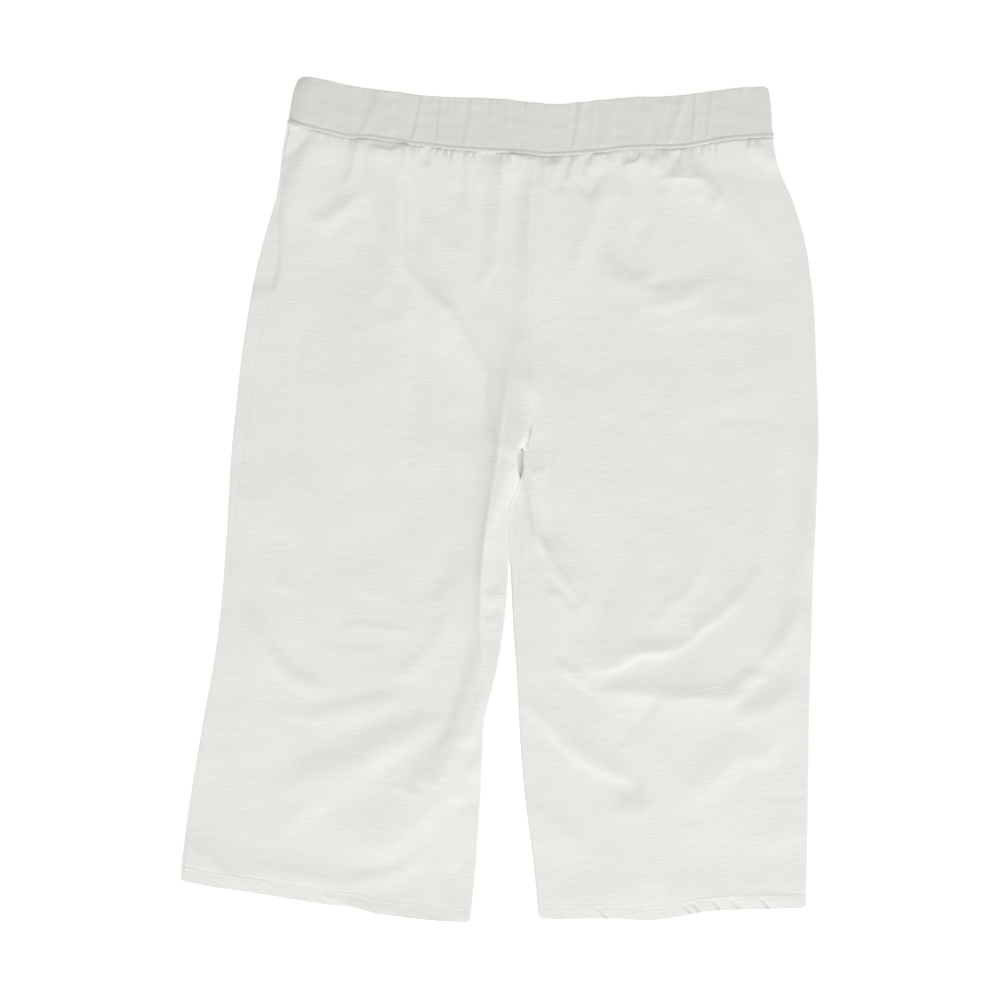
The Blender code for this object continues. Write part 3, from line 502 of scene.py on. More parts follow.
def comb_gathers():
    """The combs of small nicks, as rows of GATHER_COLUMNS; a few of them stand up instead."""
    chance = np.random.default_rng(7)
    rows = []
    for first, last, depth in COMBS:
        place = first
        while place < last:
            strong = chance.uniform(0.35, 1.0) * (-1.0 if chance.random() < 0.7 else 0.8)
            length, lean = COMB_LENGTH * chance.uniform(0.6, 1.6), chance.uniform(-0.4, 0.3)
            rows.append((place, length, depth * strong, chance.uniform(0.8, 1.5), lean))
            place += COMB_SPACING * chance.uniform(0.75, 1.35)
    return rows


ALL_GATHERS = GATHERS + tuple(comb_gathers())


def gather_height(x, y):
    below = hermite(WAIST_SEAM, x) - WELT_WIDTH / 2 - y
    close = below < 80
    total = np.zeros(np.shape(x))
    under, across = np.maximum(below[close], 0), x[close]
    found = np.zeros(len(under))
    for place, length, height, width, lean in ALL_GATHERS:
        away = (across - place + lean * under) / width
        found += height * np.exp(-(away**2) - (under / length) ** 2)
    total[close] = found
    return total


# %% Faint waves all over
def value_noise(x, y, cell, seed):
    """Smooth noise from -1 to 1 with one random value in each cell."""
    grid = np.random.default_rng(seed).uniform(-1, 1, (160, 160))
    gx, gy = (x + 400) / cell[0], (y + 500) / cell[1]
    ix, iy = np.floor(gx).astype(int), np.floor(gy).astype(int)
    fx, fy = gx - ix, gy - iy
    fx, fy = fx * fx * (3 - 2 * fx), fy * fy * (3 - 2 * fy)
    ix, iy = ix % 159, iy % 159
    low = grid[ix, iy] * (1 - fx) + grid[ix + 1, iy] * fx
    high = grid[ix, iy + 1] * (1 - fx) + grid[ix + 1, iy + 1] * fx
    return low * (1 - fy) + high * fy


WAVES_COLUMNS = ("cell", "height")
WAVES = (((130, 90), 0.70), ((52, 30), 0.22), ((24, 9), 0.07), ((11, 4.5), 0.035))


def faint_waves(x, y):
    total = np.zeros(np.shape(x))
    for seed, (cell, height) in enumerate(WAVES):
        total += height * value_noise(x, y, cell, seed + 3)
    return total


# %% [markdown]
# ## The top of the cloth
#
# Everything above comes together as one height over the table. Near the hem
# the four layers lie higher, with a dimple along each row of stitches, and the
# strip under them ripples. The two fronts are joined down to the crotch, so
# each also takes the other's folds there.

# %% The height of the front
RIPPLES_COLUMNS = ("place", "depth", "width")
HEM_RIPPLES = {
    "left": ((-258, 0.6, 1.8), (-244, 0.4, 2.0), (-232, 0.3, 1.6), (-205, 0.3, 2.2),
             (-178, 0.3, 1.8), (-128, 0.3, 3.0), (-96, 0.3, 3.0), (-63, 0.25, 3.0)),
    "right": ((62, 0.3, 2), (84, 0.25, 2), (102, 1.2, 1.1), (119, 0.35, 1.5), (150, 0.3, 2),
              (176, 0.3, 1.5), (187, 1.4, 1.0), (196, 1.3, 1.0), (216, 1.5, 1.1),
              (235, 1.3, 1.2), (265, 1.5, 1.3), (283, 0.3, 2)),
}
RIPPLE_LEAN = 0.75     # they lean, because the two layers have shifted
BLEND_WIDTH = 2.5      # how far folds are shared where two legs touch
HEM_CLIMB = 55         # the cloth climbs to the hems from this far over them,
WAIST_CLIMB = (45, 6)  # and to the waist from this far under it to this near
SEAM_PULL = 1.1        # the waist seam holds the cloth down this near to it
SHARED = 0.5           # where two legs touch, each takes half of the other's folds
LOWEST_TOP = 2.6       # the front cannot go under the back that it lies on,
SETTLING = 0.7         # and comes down on it this softly


def hem_relief(x, over_hem, side):
    """Stitch dimples and ripples of the turned-up hem."""
    middle = HEM_DEPTH - NEEDLES_APART / 2
    relief = 0.18 * np.exp(-(((over_hem - middle) / 0.8) ** 2))
    for row, depth in ((HEM_DEPTH, 0.22), (HEM_DEPTH - NEEDLES_APART, 0.28)):
        relief -= depth * np.exp(-(((over_hem - row) / 0.7) ** 2))
    in_strip = ease(over_hem, HEM_DEPTH - NEEDLES_APART, HEM_DEPTH - 5) * ease(over_hem, 0, 3)
    for place, depth, width in HEM_RIPPLES[side]:
        away = x - (place - RIPPLE_LEAN * (over_hem - 6))
        relief -= depth * in_strip * np.exp(-((away / width) ** 2))
    return relief


def legs_part(y):
    """0 where the legs are one or touch, 1 where a gap opens between them."""
    slit = ease(y, SLIT[0], SLIT[0] + 10) * ease(y, SLIT[1], SLIT[1] - 4)
    return np.maximum(ease(y, LEGS_TOUCH_TO, LEGS_TOUCH_TO - 9), slit)


def front_top(x, y, side):
    """Height of the front's upper face over the table."""
    over_hem = y - hermite(HEMS[side], x)
    below_seam = hermite(WAIST_SEAM, x) - y
    z = LAYERS_HIGH + (HEMS_HIGH - LAYERS_HIGH) * ease(over_hem, HEM_CLIMB, HEM_DEPTH + 2)
    z = z + (WAIST_HIGH - LAYERS_HIGH) * ease(below_seam, *WAIST_CLIMB)
    z = z + hem_relief(x, over_hem, side) + faint_waves(x, y)
    joined = ease(y, CROTCH - 6, CROTCH + 44)
    between = (edge("left_inner", y) + edge("right_inner", y)) / 2
    touching = SHARED * (1 - joined) * (1 - legs_part(y))
    touching = touching * np.exp(-(((x - between) / BLEND_WIDTH) ** 2))
    own, other = (LEFT_FOLDS, RIGHT_FOLDS) if side == "left" else (RIGHT_FOLDS, LEFT_FOLDS)
    z = z + (1 - touching) * sum(fold_height(x, y, *fold) for _, *fold in own)
    z = z + (joined + touching) * sum(fold_height(x, y, *fold) for _, *fold in other)
    at_seam = np.exp(-(((below_seam - WELT_WIDTH / 2) / SEAM_PULL) ** 2))
    z = z + (WELT_EDGE - z) * at_seam
    gathers = gather_height(x, y)
    z = z + gathers * np.where(gathers > 0, 1 - at_seam, 1)
    return LOWEST_TOP + SETTLING * np.log1p(np.exp((z - LOWEST_TOP) / SETTLING))


# %% [markdown]
# ## Laying out a panel
#
# A panel is a grid: rows follow the hem at one end and the waist seam at the
# other, and columns follow the inner and the outer edge. The rows in the hem
# and close to the waist have two and four times the columns, since ripples and
# gathers are finer than anything else. The grid is the face that shows. A
# Solidify modifier then gives it the thickness of jersey, growing inward, and a
# vertex group doubles that where the hem is turned up.

# %% Rows and columns
CLOSE_COLUMNS = np.concatenate([np.arange(0, 38, 1.35), np.arange(38, 72, 1.9)])
WIDE_COLUMNS = 66      # the close ones start at the inner edge, where folds are sharpest
BODY_COLUMNS = len(CLOSE_COLUMNS) + WIDE_COLUMNS
HEM_STEP = 1.1
ROW_STEPS = (          # closer where folds are sharp
    (-389, 3.2), (-330, 2.6), (-130, 2.8), (14, 1.6), (76, 3.4),
)
FINE_FROM, FINE_STEP = 312, 1.3
FINEST_FROM, FINEST_STEP = 332, 0.9


def panel_rows():
    """All rows from hem to waist, and how many times finer the columns are in each."""
    parts = [np.arange(HEM_LINE, ROW_STEPS[0][0], HEM_STEP)]
    starts = ROW_STEPS + ((FINE_FROM, FINE_STEP), (FINEST_FROM, FINEST_STEP), (TOP_LINE, 0))
    for (start, step), (stop, _) in zip(starts, starts[1:]):
        parts.append(np.arange(start, stop - step / 2, step))
    rows = np.concatenate(parts + [[TOP_LINE]])
    times = 1 + (rows < HEM_LINE + HEM_DEPTH) + (rows >= FINE_FROM) + 2 * (rows >= FINEST_FROM)
    return rows, times


ROWS, TIMES_FINER = panel_rows()


def row_heights(x, row, side, gap=WAIST_GAP):
    """Bend a level row to follow the hem or the waist seam near its ends."""
    to_hem = (hermite(HEMS[side], x) - HEM_LINE) * ease(-row, 300, -HEM_LINE)
    waist = hermite(WAIST_SEAM, x) - WELT_WIDTH / 2 - gap
    return row + to_hem + (waist - TOP_LINE) * ease(row, 230, TOP_LINE)


def banded_faces(counts):
    """Quads between rows, with fans of triangles where the count doubles or halves."""
    starts = np.concatenate([[0], np.cumsum(counts)])
    faces = []
    for row in range(len(counts) - 1):
        low, high = int(starts[row]), int(starts[row + 1])
        for col in range(min(counts[row], counts[row + 1]) - 1):
            a, b, c, d = low + col, low + col + 1, high + col, high + col + 1
            if counts[row] == counts[row + 1]:
                faces.append((a, b, d, c))
            elif counts[row] < counts[row + 1]:
                left, middle, right = c + col, c + col + 1, c + col + 2
                faces += [(a, b, middle), (a, middle, left), (b, right, middle)]
            else:
                left, middle, right = a + col, a + col + 1, a + col + 2
                faces += [(left, middle, c), (middle, d, c), (middle, right, d)]
    return faces


print("rows:", len(ROWS), "of which fine:", int((TIMES_FINER > 1).sum()))


# %% [markdown]
# ## Colours and shader nodes
#
# The colours are written the way a dyer's chart gives them, as sRGB hex, and
# one function turns them to the linear light that Cycles adds up. Another
# small function adds a shader node, fills in its settings and links its
# inputs, so that a material reads as a list of what it is made of.

# %% Colour and node helpers
def linear(code):
    """Linear RGBA of an sRGB hex colour."""
    parts = [int(code[i:i + 2], 16) / 255 for i in (1, 3, 5)]
    return [c / 12.92 if c <= 0.04045 else ((c + 0.055) / 1.055) ** 2.4 for c in parts] + [1.0]


def add(material, kind, settings=None, **links):
    """Add a node: settings name its properties or sockets, links feed sockets."""
    node = material.node_tree.nodes.new(kind)
    for name, value in (settings or {}).items():
        if hasattr(node, name):
            setattr(node, name, value)
        else:
            node.inputs[int(name) if name.isdigit() else name].default_value = value
    for name, source in links.items():
        socket = node.inputs[int(name[1:]) if name[1:].isdigit() else name.replace("_", " ")]
        material.node_tree.links.new(source, socket)
    return node


def new_material(name):
    """An empty material with its Principled shader already on the output."""
    material = bpy.data.materials.new(name)
    material.use_nodes = True
    material.node_tree.nodes.clear()
    shader = add(material, "ShaderNodeBsdfPrincipled")
    add(material, "ShaderNodeOutputMaterial", None, Surface=shader.outputs["BSDF"])
    return material, shader


# %% [markdown]
# ## Slub jersey
#
# Slub yarn is spun thick and thin on purpose. In a jersey it runs along the
# courses, across the leg, so the cloth shows short streaks that lie proud and
# catch the light, and between them finer lines. Cotton is matt: a high
# roughness, a little sheen from loose fibres, and an IOR near 1.5. The knit
# itself has about eleven stitches in a centimetre, too fine to see here, so
# its grain is drawn at 1.6 mm to show at all.
#
# The streaks have to turn with the cloth, so each panel carries a UV map in
# metres along its own grain, and the noise is stretched along that.

# %% Make the slub jersey
SLUB_LENGTH, SLUB_WIDTH = 17.0, 2.0      # a thick place in the yarn, as it shows
STREAK_LENGTH, STREAK_WIDTH = 34.0, 2.8  # a run of slightly fuller courses
KNIT_GRAIN = 1.6                         # drawn coarser than the real 0.9 mm


def stretched_noise(material, grain, length, width, detail=2.0):
    """Noise drawn out along the courses; length and width in millimetres."""
    scale = (1 / (length * MM), 1 / (width * MM), 1.0)
    place = add(material, "ShaderNodeMapping", {"Scale": scale}, Vector=grain)
    settings = {"Scale": 1.0, "Detail": detail, "Roughness": 0.55, "noise_dimensions": "2D"}
    return add(material, "ShaderNodeTexNoise", settings, Vector=place.outputs["Vector"])


def jersey(name, body, streak, shade, bump=1.0):
    """Slub jersey in a body colour, with lighter streaks and darker shades."""
    material, shader = new_material(name)
    grain = add(material, "ShaderNodeUVMap", {"uv_map": "grain"}).outputs["UV"]
    slubs = stretched_noise(material, grain, SLUB_LENGTH, SLUB_WIDTH, 3.0)
    streaks = stretched_noise(material, grain, STREAK_LENGTH, STREAK_WIDTH)
    clouds = stretched_noise(material, grain, 90.0, 50.0)
    knit = stretched_noise(material, grain, KNIT_GRAIN * 1.6, KNIT_GRAIN, 1.0)

    thick = add(material, "ShaderNodeMapRange",
                {"From Min": 0.55, "From Max": 0.78, "To Min": 0.0, "To Max": 1.0},
                Value=slubs.outputs["Fac"])
    thin = add(material, "ShaderNodeMapRange",
               {"From Min": 0.45, "From Max": 0.24, "To Min": 0.0, "To Max": 1.0},
               Value=streaks.outputs["Fac"])
    tone = add(material, "ShaderNodeMix",
               {"data_type": "RGBA", "6": linear(body), "7": linear(shade)},
               i0=thin.outputs["Result"])
    fleck = add(material, "ShaderNodeMix", {"data_type": "RGBA", "7": linear(streak)},
                i0=thick.outputs["Result"], i6=tone.outputs[2])
    cloud_fade = add(material, "ShaderNodeMapRange",
                     {"From Min": 0.3, "From Max": 0.7, "To Min": 0.985, "To Max": 1.01},
                     Value=clouds.outputs["Fac"])
    cloudy = add(material, "ShaderNodeVectorMath", {"operation": "SCALE"},
                 i0=fleck.outputs[2], Scale=cloud_fade.outputs["Result"])
    material.node_tree.links.new(cloudy.outputs["Vector"], shader.inputs["Base Color"])

    yarn = add(material, "ShaderNodeMath", {"operation": "MULTIPLY_ADD", "1": 0.55},
               i0=streaks.outputs["Fac"], i2=thick.outputs["Result"])
    relief = add(material, "ShaderNodeMath", {"operation": "MULTIPLY_ADD", "1": 0.35},
                 i0=knit.outputs["Fac"], i2=yarn.outputs["Value"])
    height = add(material, "ShaderNodeBump", {"Strength": 0.55 * bump, "Distance": 0.00022},
                 Height=relief.outputs["Value"])
    material.node_tree.links.new(height.outputs["Normal"], shader.inputs["Normal"])
    shader.inputs["Roughness"].default_value = 0.88
    shader.inputs["IOR"].default_value = 1.5
    shader.inputs["Specular IOR Level"].default_value = 0.25
    shader.inputs["Sheen Weight"].default_value = 0.12
    shader.inputs["Sheen Roughness"].default_value = 0.5
    return material


SLUB_JERSEY = jersey("slub_cotton_jersey", "#E3E4DF", "#E7E8E4", "#E0E0DA", 0.95)
# The waistband and the welt are painted a darker off-white than the legs: painted shade standing for
# the dimmer light at the waist.
BAND_JERSEY_PAINTED_SHADE = jersey("waistband_jersey_painted_shade", "#D8D9D2", "#DCDCD6", "#D5D5CE", 0.6)
POCKET_JERSEY = jersey("pocket_bag_jersey", "#D6D6CE", "#DBDBD4", "#D0D0C8")
print("materials:", [m.name for m in bpy.data.materials if "jersey" in m.name])

# %% [markdown]
# ## Sewing thread
#
# Spun polyester thread in the cloth's own off-white. It is smoother than the
# cotton, so it is a little brighter where it catches the light.

# %% Make the thread
def thread_material():
    material, shader = new_material("spun_polyester_thread")
    place = add(material, "ShaderNodeTexCoord").outputs["Object"]
    twist = add(material, "ShaderNodeTexNoise", {"Scale": 2200.0, "Detail": 1.0}, Vector=place)
    tone = add(material, "ShaderNodeMix",
               {"data_type": "RGBA", "6": linear("#D8D8D1"), "7": linear("#E6E6E1")},
               i0=twist.outputs["Fac"])
    material.node_tree.links.new(tone.outputs[2], shader.inputs["Base Color"])
    shader.inputs["Roughness"].default_value = 0.6
    shader.inputs["Sheen Weight"].default_value = 0.1
    return material


THREAD_WHITE = thread_material()


# %% [markdown]
# ## Building the shells
#
# One function turns rows of points into a mesh with its grain map and its
# thickness. The grain of the leg at the right was turned a little when it was
# laid down.

# %% A shell from rows of points
GRAIN_TILT = {"left": -0.02, "right": 0.18}


def grain_of(points, side):
    """UV in metres: u along the courses, v along the leg."""
    x, y = points[:, 0], points[:, 1]
    tilt = GRAIN_TILT[side] - (0.13 * ease(-y, 120, 400) if side == "left" else 0)
    middle = -130 if side == "left" else 160
    return np.column_stack([x + tilt * y, y - tilt * (x - middle)]) * MM


def write_grain(mesh, uv):
    """Give each corner of the mesh the UV of its point."""
    grain = mesh.uv_layers.new(name="grain")
    corner = np.empty(len(mesh.loops), int)
    mesh.loops.foreach_get("vertex_index", corner)
    grain.data.foreach_set("uv", uv[corner].ravel())


def new_piece(name, mesh, material):
    """An object of that name with the mesh in one material."""
    mesh.materials.append(material)
    piece = bpy.data.objects.new(name, mesh)
    bpy.context.collection.objects.link(piece)
    return piece


def shell(name, points, counts, doubling, side, material, flip, thickness=CLOTH):
    """A mesh from rows of points, with its grain, thickened inward."""
    faces = banded_faces(counts)
    if flip:
        faces = [face[::-1] for face in faces]
    mesh = bpy.data.meshes.new(name)
    mesh.from_pydata((points * MM).tolist(), [], faces)
    write_grain(mesh, grain_of(points, side))
    mesh.shade_smooth()
    edge_of_corner = np.empty(len(mesh.loops), int)
    mesh.loops.foreach_get("edge_index", edge_of_corner)
    at_border = np.bincount(edge_of_corner, minlength=len(mesh.edges)) == 1
    mesh.attributes.new("sharp_edge", "BOOLEAN", "EDGE").data.foreach_set("value", at_border)
    piece = new_piece(name, mesh, material)
    doubled = piece.vertex_groups.new(name="doubled")
    for level in np.unique(doubling.round(2)):
        doubled.add(np.flatnonzero(doubling.round(2) == level).tolist(), float(level), "REPLACE")
    solidify = piece.modifiers.new("cloth", "SOLIDIFY")
    solidify.thickness = 2 * thickness * MM
    solidify.offset = -1
    solidify.vertex_group = "doubled"
    solidify.thickness_vertex_group = 0.5
    print(name, "faces on the outer side:", len(faces))
    return piece


# %% Front panels
POCKET_LOW, POCKET_TOP = 204, 304
MOUTH_ENDS = 14        # the mouth opens over this length at both ends
SEAM_APPEARS = (-120, 0)   # the side seam's groove fades in between these heights,
SEAM_HIDES = 16            # and out over this length above the pocket
MOUTH_ROLL, MOUTH_ROLL_WIDTH = 1.8, 3.4
ROLL_STEPS = np.array([0.0, 0.04, 0.15, 0.35, 0.6, 0.95, 1.3])
SEAM_STEPS = np.array([1.6, 0.8, 0.3, 0.0])
SEAM_MARGIN = 3.0      # the columns of the body stop this far from the side seam
HEM_SINGLE, HEM_DOUBLE = 3.0, 9.0    # the hem thickens between these distances in


def pocket_opening(y):
    """1 along the pocket's mouth in the side seam, 0 elsewhere."""
    return (ease(y, POCKET_LOW, POCKET_LOW + MOUTH_ENDS)
            * ease(y, POCKET_TOP, POCKET_TOP - MOUTH_ENDS))


def rolled(distance, full_height):
    """The height of a rolled edge that comes down to the table."""
    inside = np.clip(1 - distance / EDGE_ROLL, 0, 1)
    return FOOT + (full_height - FOOT) * np.sqrt(1 - inside**2)


def groove(distance, depth=SEAM_GROOVE):
    """How much a seam line lies below the cloth beside it."""
    return depth * np.exp(-((distance / SEAM_GROOVE_WIDTH) ** 2))


def corner_inset(row):
    """How far the edges draw in at the rounded corners of a hem."""
    inside = np.clip(CORNER - (row - HEM_LINE), 0, CORNER)
    return CORNER - np.sqrt(CORNER**2 - inside**2)


def front_row(row, side, outer_steps):
    """Places across the panel at one row: x, y, inner and outer edge, and how open the legs are."""
    sign = -1 if side == "left" else 1
    first, last = len(ROLL_STEPS), len(outer_steps)
    count = first + BODY_COLUMNS + last
    close_end = first + len(CLOSE_COLUMNS)
    y = np.full(count, float(row))
    for _ in range(2):
        inner, outer = edge(side + "_inner", y), edge(side + "_outer", y)
        between = (edge("left_inner", y) + edge("right_inner", y)) / 2
        parted = legs_part(y)
        inner = inner * parted + (between + sign * SEAM_GAP / 2) * (1 - parted)
        inner = inner + sign * corner_inset(row)
        outer = outer - sign * corner_inset(row)
        if side == "left":
            outer = outer + hermite(SEAM_TO_EDGE, y) + SEAM_GAP / 2
        low = inner + sign * EDGE_ROLL
        high = outer - sign * (EDGE_ROLL if side == "right" else SEAM_MARGIN)
        x = low.copy()
        x[first:close_end] += sign * CLOSE_COLUMNS
        start = low[close_end:-last] + sign * CLOSE_COLUMNS[-1]
        shares = np.linspace(0, 1, WIDE_COLUMNS + 1)[1:]
        x[close_end:-last] = start + (high[close_end:-last] - start) * shares
        x[:first] = inner[:first] + sign * ROLL_STEPS
        x[-last:] = outer[-last:] - sign * outer_steps
        y = row_heights(x, row, side)
    return np.array([x, y, inner, outer, parted])


def front_shell(side):
    """A front panel, from the centre front or inner leg to its outer edge."""
    outer_steps = ROLL_STEPS[::-1] if side == "right" else SEAM_STEPS
    laid = []
    for row, times in zip(ROWS, TIMES_FINER):
        places = front_row(row, side, outer_steps)
        if times > 1:
            whole = np.arange(places.shape[1])
            finer = np.arange(times * (len(whole) - 1) + 1) / times
            places = np.array([np.interp(finer, whole, values) for values in places])
            places[1] = row_heights(places[0], row, side)
        laid.append(places)
    counts = [places.shape[1] for places in laid]
    x, y, inner, outer, parted = np.concatenate(laid, axis=1)
    z = front_top(x, y, side)
    from_inner, from_outer = np.abs(x - inner), np.abs(outer - x)
    seam_depth = SEAM_GROOVE + (TOUCHING_GROOVE - SEAM_GROOVE) * ease(y, CROTCH, CROTCH - 10)
    z = z + (rolled(from_inner, z) - z) * parted - groove(from_inner, seam_depth) * (1 - parted)
    z = rolled(from_outer, z) if side == "right" else z - side_seam(from_outer, y)
    in_hem = np.repeat(ROWS, counts) < HEM_LINE + HEM_DEPTH
    doubling = in_hem * ease(np.minimum(from_inner, from_outer), HEM_SINGLE, HEM_DOUBLE)
    return shell("front_%s_jersey" % side, np.column_stack([x, y, z]), counts, doubling,
                 side, SLUB_JERSEY, flip=side == "left")


def side_seam(distance, y):
    """The side seam on top: plain below the knee, and rolled along the pocket's mouth."""
    mouth = pocket_opening(y)
    shows = groove(distance) * ease(y, *SEAM_APPEARS)
    seam = shows * ease(y, POCKET_TOP + SEAM_HIDES, POCKET_TOP)
    return seam * (1 - mouth) + MOUTH_ROLL * mouth * np.exp(-((distance / MOUTH_ROLL_WIDTH) ** 2))


front_shells = {side: front_shell(side) for side in ("left", "right")}

# %% [markdown]
# ## Back panels
#
# The backs lie on the table, with a few low creases in their undersides and
# the raised allowances of the crotch seam. The one at the left is a little
# wider than the front above it, so it bends up round the outer edge and shows
# as a strip on top, out to the side seam. Its bend is as high as the two
# layers. The rise of the creases is limited by the height of the front, yet in
# places they still run into it, and the two at the left seat run into the
# pocket bag.

# %% Back panels
BACK_COLUMNS = 40
BEND_STEPS = 12
STRIP_SHARES = np.array([0.12, 0.28, 0.46, 0.64, 0.78, 0.88, 0.94, 0.975, 1.0])
BEND_SHARE = 0.3       # the bend is narrower than it is high
STRIP_DROP, STRIP_CLIMB = 2.3, 0.5   # along the mouth the strip lies lower and runs under
STRIP_UNDER = 3.5      # how far it runs under the front there
NARROWEST_STRIP = 0.3
BEND_STARTS = 7.0      # the flat part ends this far from the outer edge
BACK_ROW_STEP = {"left": 2, "right": 3}    # a back takes every second or third row,
ROWS_KEPT = 18                             # but all of the lowest ones
BACK_HEM_SINGLE, BACK_HEM_DOUBLE = 1.0, 6.0    # the same from a back's inner edge
BEND_SINGLE, BEND_DOUBLE = 6.0, 14.0           # and from the bend
BACK_INSET = 2.1
BACK_CROTCH = -4.0     # the back rise is longer, so the backs part lower down
BACK_FOLDS = {
    "left": (
        ("seat, upper", ((-30, 300), (-90, 262), (-150, 236)), 0.9, 14, 10, SOFT),
        ("seat, lower", ((-20, 196), (-80, 170), (-120, 122)), 0.8, 10, 16, ROUND),
        ("knee", ((-60, -60), (-110, -92), (-170, -104)), 0.9, 12, 9, SOFT),
        ("shin", ((-90, -190), (-130, -226), (-150, -280)), 0.7, 12, 12, ROUND),
        ("seam allowance", ((14, 64), (20, 44), (21, 26), (14, 8)), 3.0, 7, 12, ROUND),
    ),
    "right": (
        ("seat, upper", ((40, 310), (96, 280), (170, 262), (230, 226)), 0.9, 10, 14, SOFT),
        ("seat, lower", ((50, 170), (110, 150), (196, 160)), 0.8, 16, 9, ROUND),
        ("thigh", ((60, 20), (110, -14), (190, -20)), 0.8, 9, 12, SOFT),
        ("knee", ((70, -96), (120, -120), (176, -112), (220, -88)), 0.9, 9, 14, SOFT),
        ("shin", ((120, -200), (150, -246), (160, -300)), 0.7, 12, 14, ROUND),
        ("seam allowance", ((28, 64), (21, 44), (21, 26), (26, 8)), 3.0, 12, 7, ROUND),
    ),
}
SPACE_INSIDE = 2.7     # the front's height less this is the most that a fold may rise
AT_EDGE_FLAT, AT_EDGE_FREE = 2.0, 14.0   # they fade out this near the outer edge


def back_rise(x, y, side):
    """How far the cloth underneath lifts off the table in low, soft folds."""
    rise = sum(fold_height(x, y, *fold[1:]) for fold in BACK_FOLDS[side])
    room = np.maximum(front_top(x, y, side) - SPACE_INSIDE, 0)
    return np.minimum(rise, room) * ease(np.abs(x - x[-1]), AT_EDGE_FLAT, AT_EDGE_FREE)


def back_row(row, side):
    """Places across a flat back panel at one row."""
    sign = -1 if side == "left" else 1
    y = np.full(BACK_COLUMNS, float(row))
    for _ in range(2):
        inner, outer = edge(side + "_inner", y), edge(side + "_outer", y)
        between = (edge("left_inner", y) + edge("right_inner", y)) / 2
        inner = inner + (between - inner) * ease(y, BACK_CROTCH, BACK_CROTCH + 6)
        inner = inner + sign * (SEAM_GAP / 2 + BACK_INSET * ease(y, BACK_CROTCH + 6, BACK_CROTCH))
        inner = inner + sign * corner_inset(row)
        outer = outer - sign * corner_inset(row)
        flat_end = outer - sign * (BEND_STARTS if side == "left" else BACK_INSET)
        x = inner + (flat_end - inner) * np.linspace(0, 1, BACK_COLUMNS)
        y = row_heights(x, row, side)
    return x, y, outer


def bend_and_strip(outer, y_end, row, side):
    """The cross-section that goes up round the edge and on to the side seam."""
    mouth = float(pocket_opening(y_end))
    under = STRIP_UNDER * mouth
    seam = outer + float(hermite(SEAM_TO_EDGE, y_end))
    radius = min(BEND_SHARE * LAYERS_HIGH / 2, seam - outer - NARROWEST_STRIP)
    strip_x = outer + radius + (seam - SEAM_GAP / 2 + under - outer - radius) * STRIP_SHARES
    strip_z = front_top(strip_x, row_heights(strip_x, row, side), side)
    strip_z = strip_z - (STRIP_DROP - STRIP_CLIMB * STRIP_SHARES) * mouth
    seam_shows = float(ease(y_end, *SEAM_APPEARS)
                       * ease(y_end, POCKET_TOP + SEAM_HIDES, POCKET_TOP))
    strip_z = strip_z - groove(strip_x[-1] - strip_x) * (1 - mouth) * seam_shows
    turn = np.linspace(-math.pi / 2, math.pi / 2, BEND_STEPS + 1)
    bend_x = outer + radius * (1 - np.cos(turn))
    bend_z = strip_z[0] / 2 * (1 + np.sin(turn))
    x = np.concatenate([bend_x, strip_x])
    return x, row_heights(x, row, side), np.concatenate([bend_z, strip_z])


def back_shell(side):
    """A back panel; the left one bends up over the outer edge."""
    above = np.arange(ROWS_KEPT, len(ROWS), BACK_ROW_STEP[side])
    picked = np.unique(np.concatenate([np.arange(0, ROWS_KEPT), above, [len(ROWS) - 1]]))
    laid, counts, doubling = [], [], []
    for row in ROWS[picked]:
        x, y, outer = back_row(row, side)
        z = back_rise(x, y, side)
        from_inner = np.abs(x - x[0])
        in_hem = (row < HEM_LINE + HEM_DEPTH) * ease(from_inner, BACK_HEM_SINGLE, BACK_HEM_DOUBLE)
        if side == "left":
            in_hem = in_hem * ease(x - outer, BEND_SINGLE, BEND_DOUBLE)
            bent = bend_and_strip(outer[-1], y[-1], row, side)
            x, y, z = (np.concatenate(pair) for pair in zip((x, y, z), bent))
            in_hem = np.concatenate([in_hem, np.zeros(len(bent[0]))])
        laid.append(np.column_stack([x, y, z]))
        counts.append(len(x))
        doubling.append(in_hem)
    return shell("back_%s_jersey" % side, np.concatenate(laid), counts,
                 np.concatenate(doubling), side, SLUB_JERSEY, flip=side == "right")


back_shells = {side: back_shell(side) for side in ("left", "right")}

# %% [markdown]
# ## The waistband
#
# A loop of jersey over elastic 45 mm wide. The elastic pulls it in, so it has
# narrow upright puckers, which lean a little because the band has slid. The
# front and the back half are each a thick strap with rounded edges, built as
# sections across the band.

# %% Puckers and the strap
PUCKER_COLUMNS = ("at_seam", "at_fold", "height", "left_width", "right_width")
PUCKERS = (
    (-142, -127, -0.5, 5, 3), (-136.5, -117, 0.7, 4, 5.5), (-150, -146, 0.5, 5, 5),
    (-109, -106, 1.1, 12, 2), (-90, -79.5, -0.6, 3, 1.8), (-86.5, -77, 0.6, 2, 4),
    (-64.5, -62.5, -0.8, 1.5, 1.2), (-61.5, -59.5, 0.7, 1.6, 3), (-50, -49, 0.5, 2, 2),
    (-39, -30.5, -0.6, 3, 1.8), (-34, -26, 0.6, 3, 4), (-9, -8, 0.4, 2, 3), (10, 9, 0.4, 3, 3),
    (44, 44, 0.3, 1.5, 2), (66, 56.5, -0.6, 2.5, 2), (70, 77, -0.8, 3, 1.8),
    (74, 83, 0.9, 2.4, 3.5), (91, 96.5, 0.8, 3, 1.5), (104, 116, 0.9, 9, 6),
    (143, 150, 0.4, 4, 4), (158, 168, 0.5, 4, 3), (168.5, 186, 1.1, 5, 3.4),
    (193, 197, 1.0, 2.5, 1.6), (190.5, 193, -0.4, 2, 2), (208, 213, 0.9, 2, 2),
    (204, 206, -0.5, 2, 2), (228, 226, 0.5, 4, 3), (-172, -165, 0.4, 6, 8),
    (-195, -188, 0.5, 5, 4),
)
BAND_STEP = 0.85
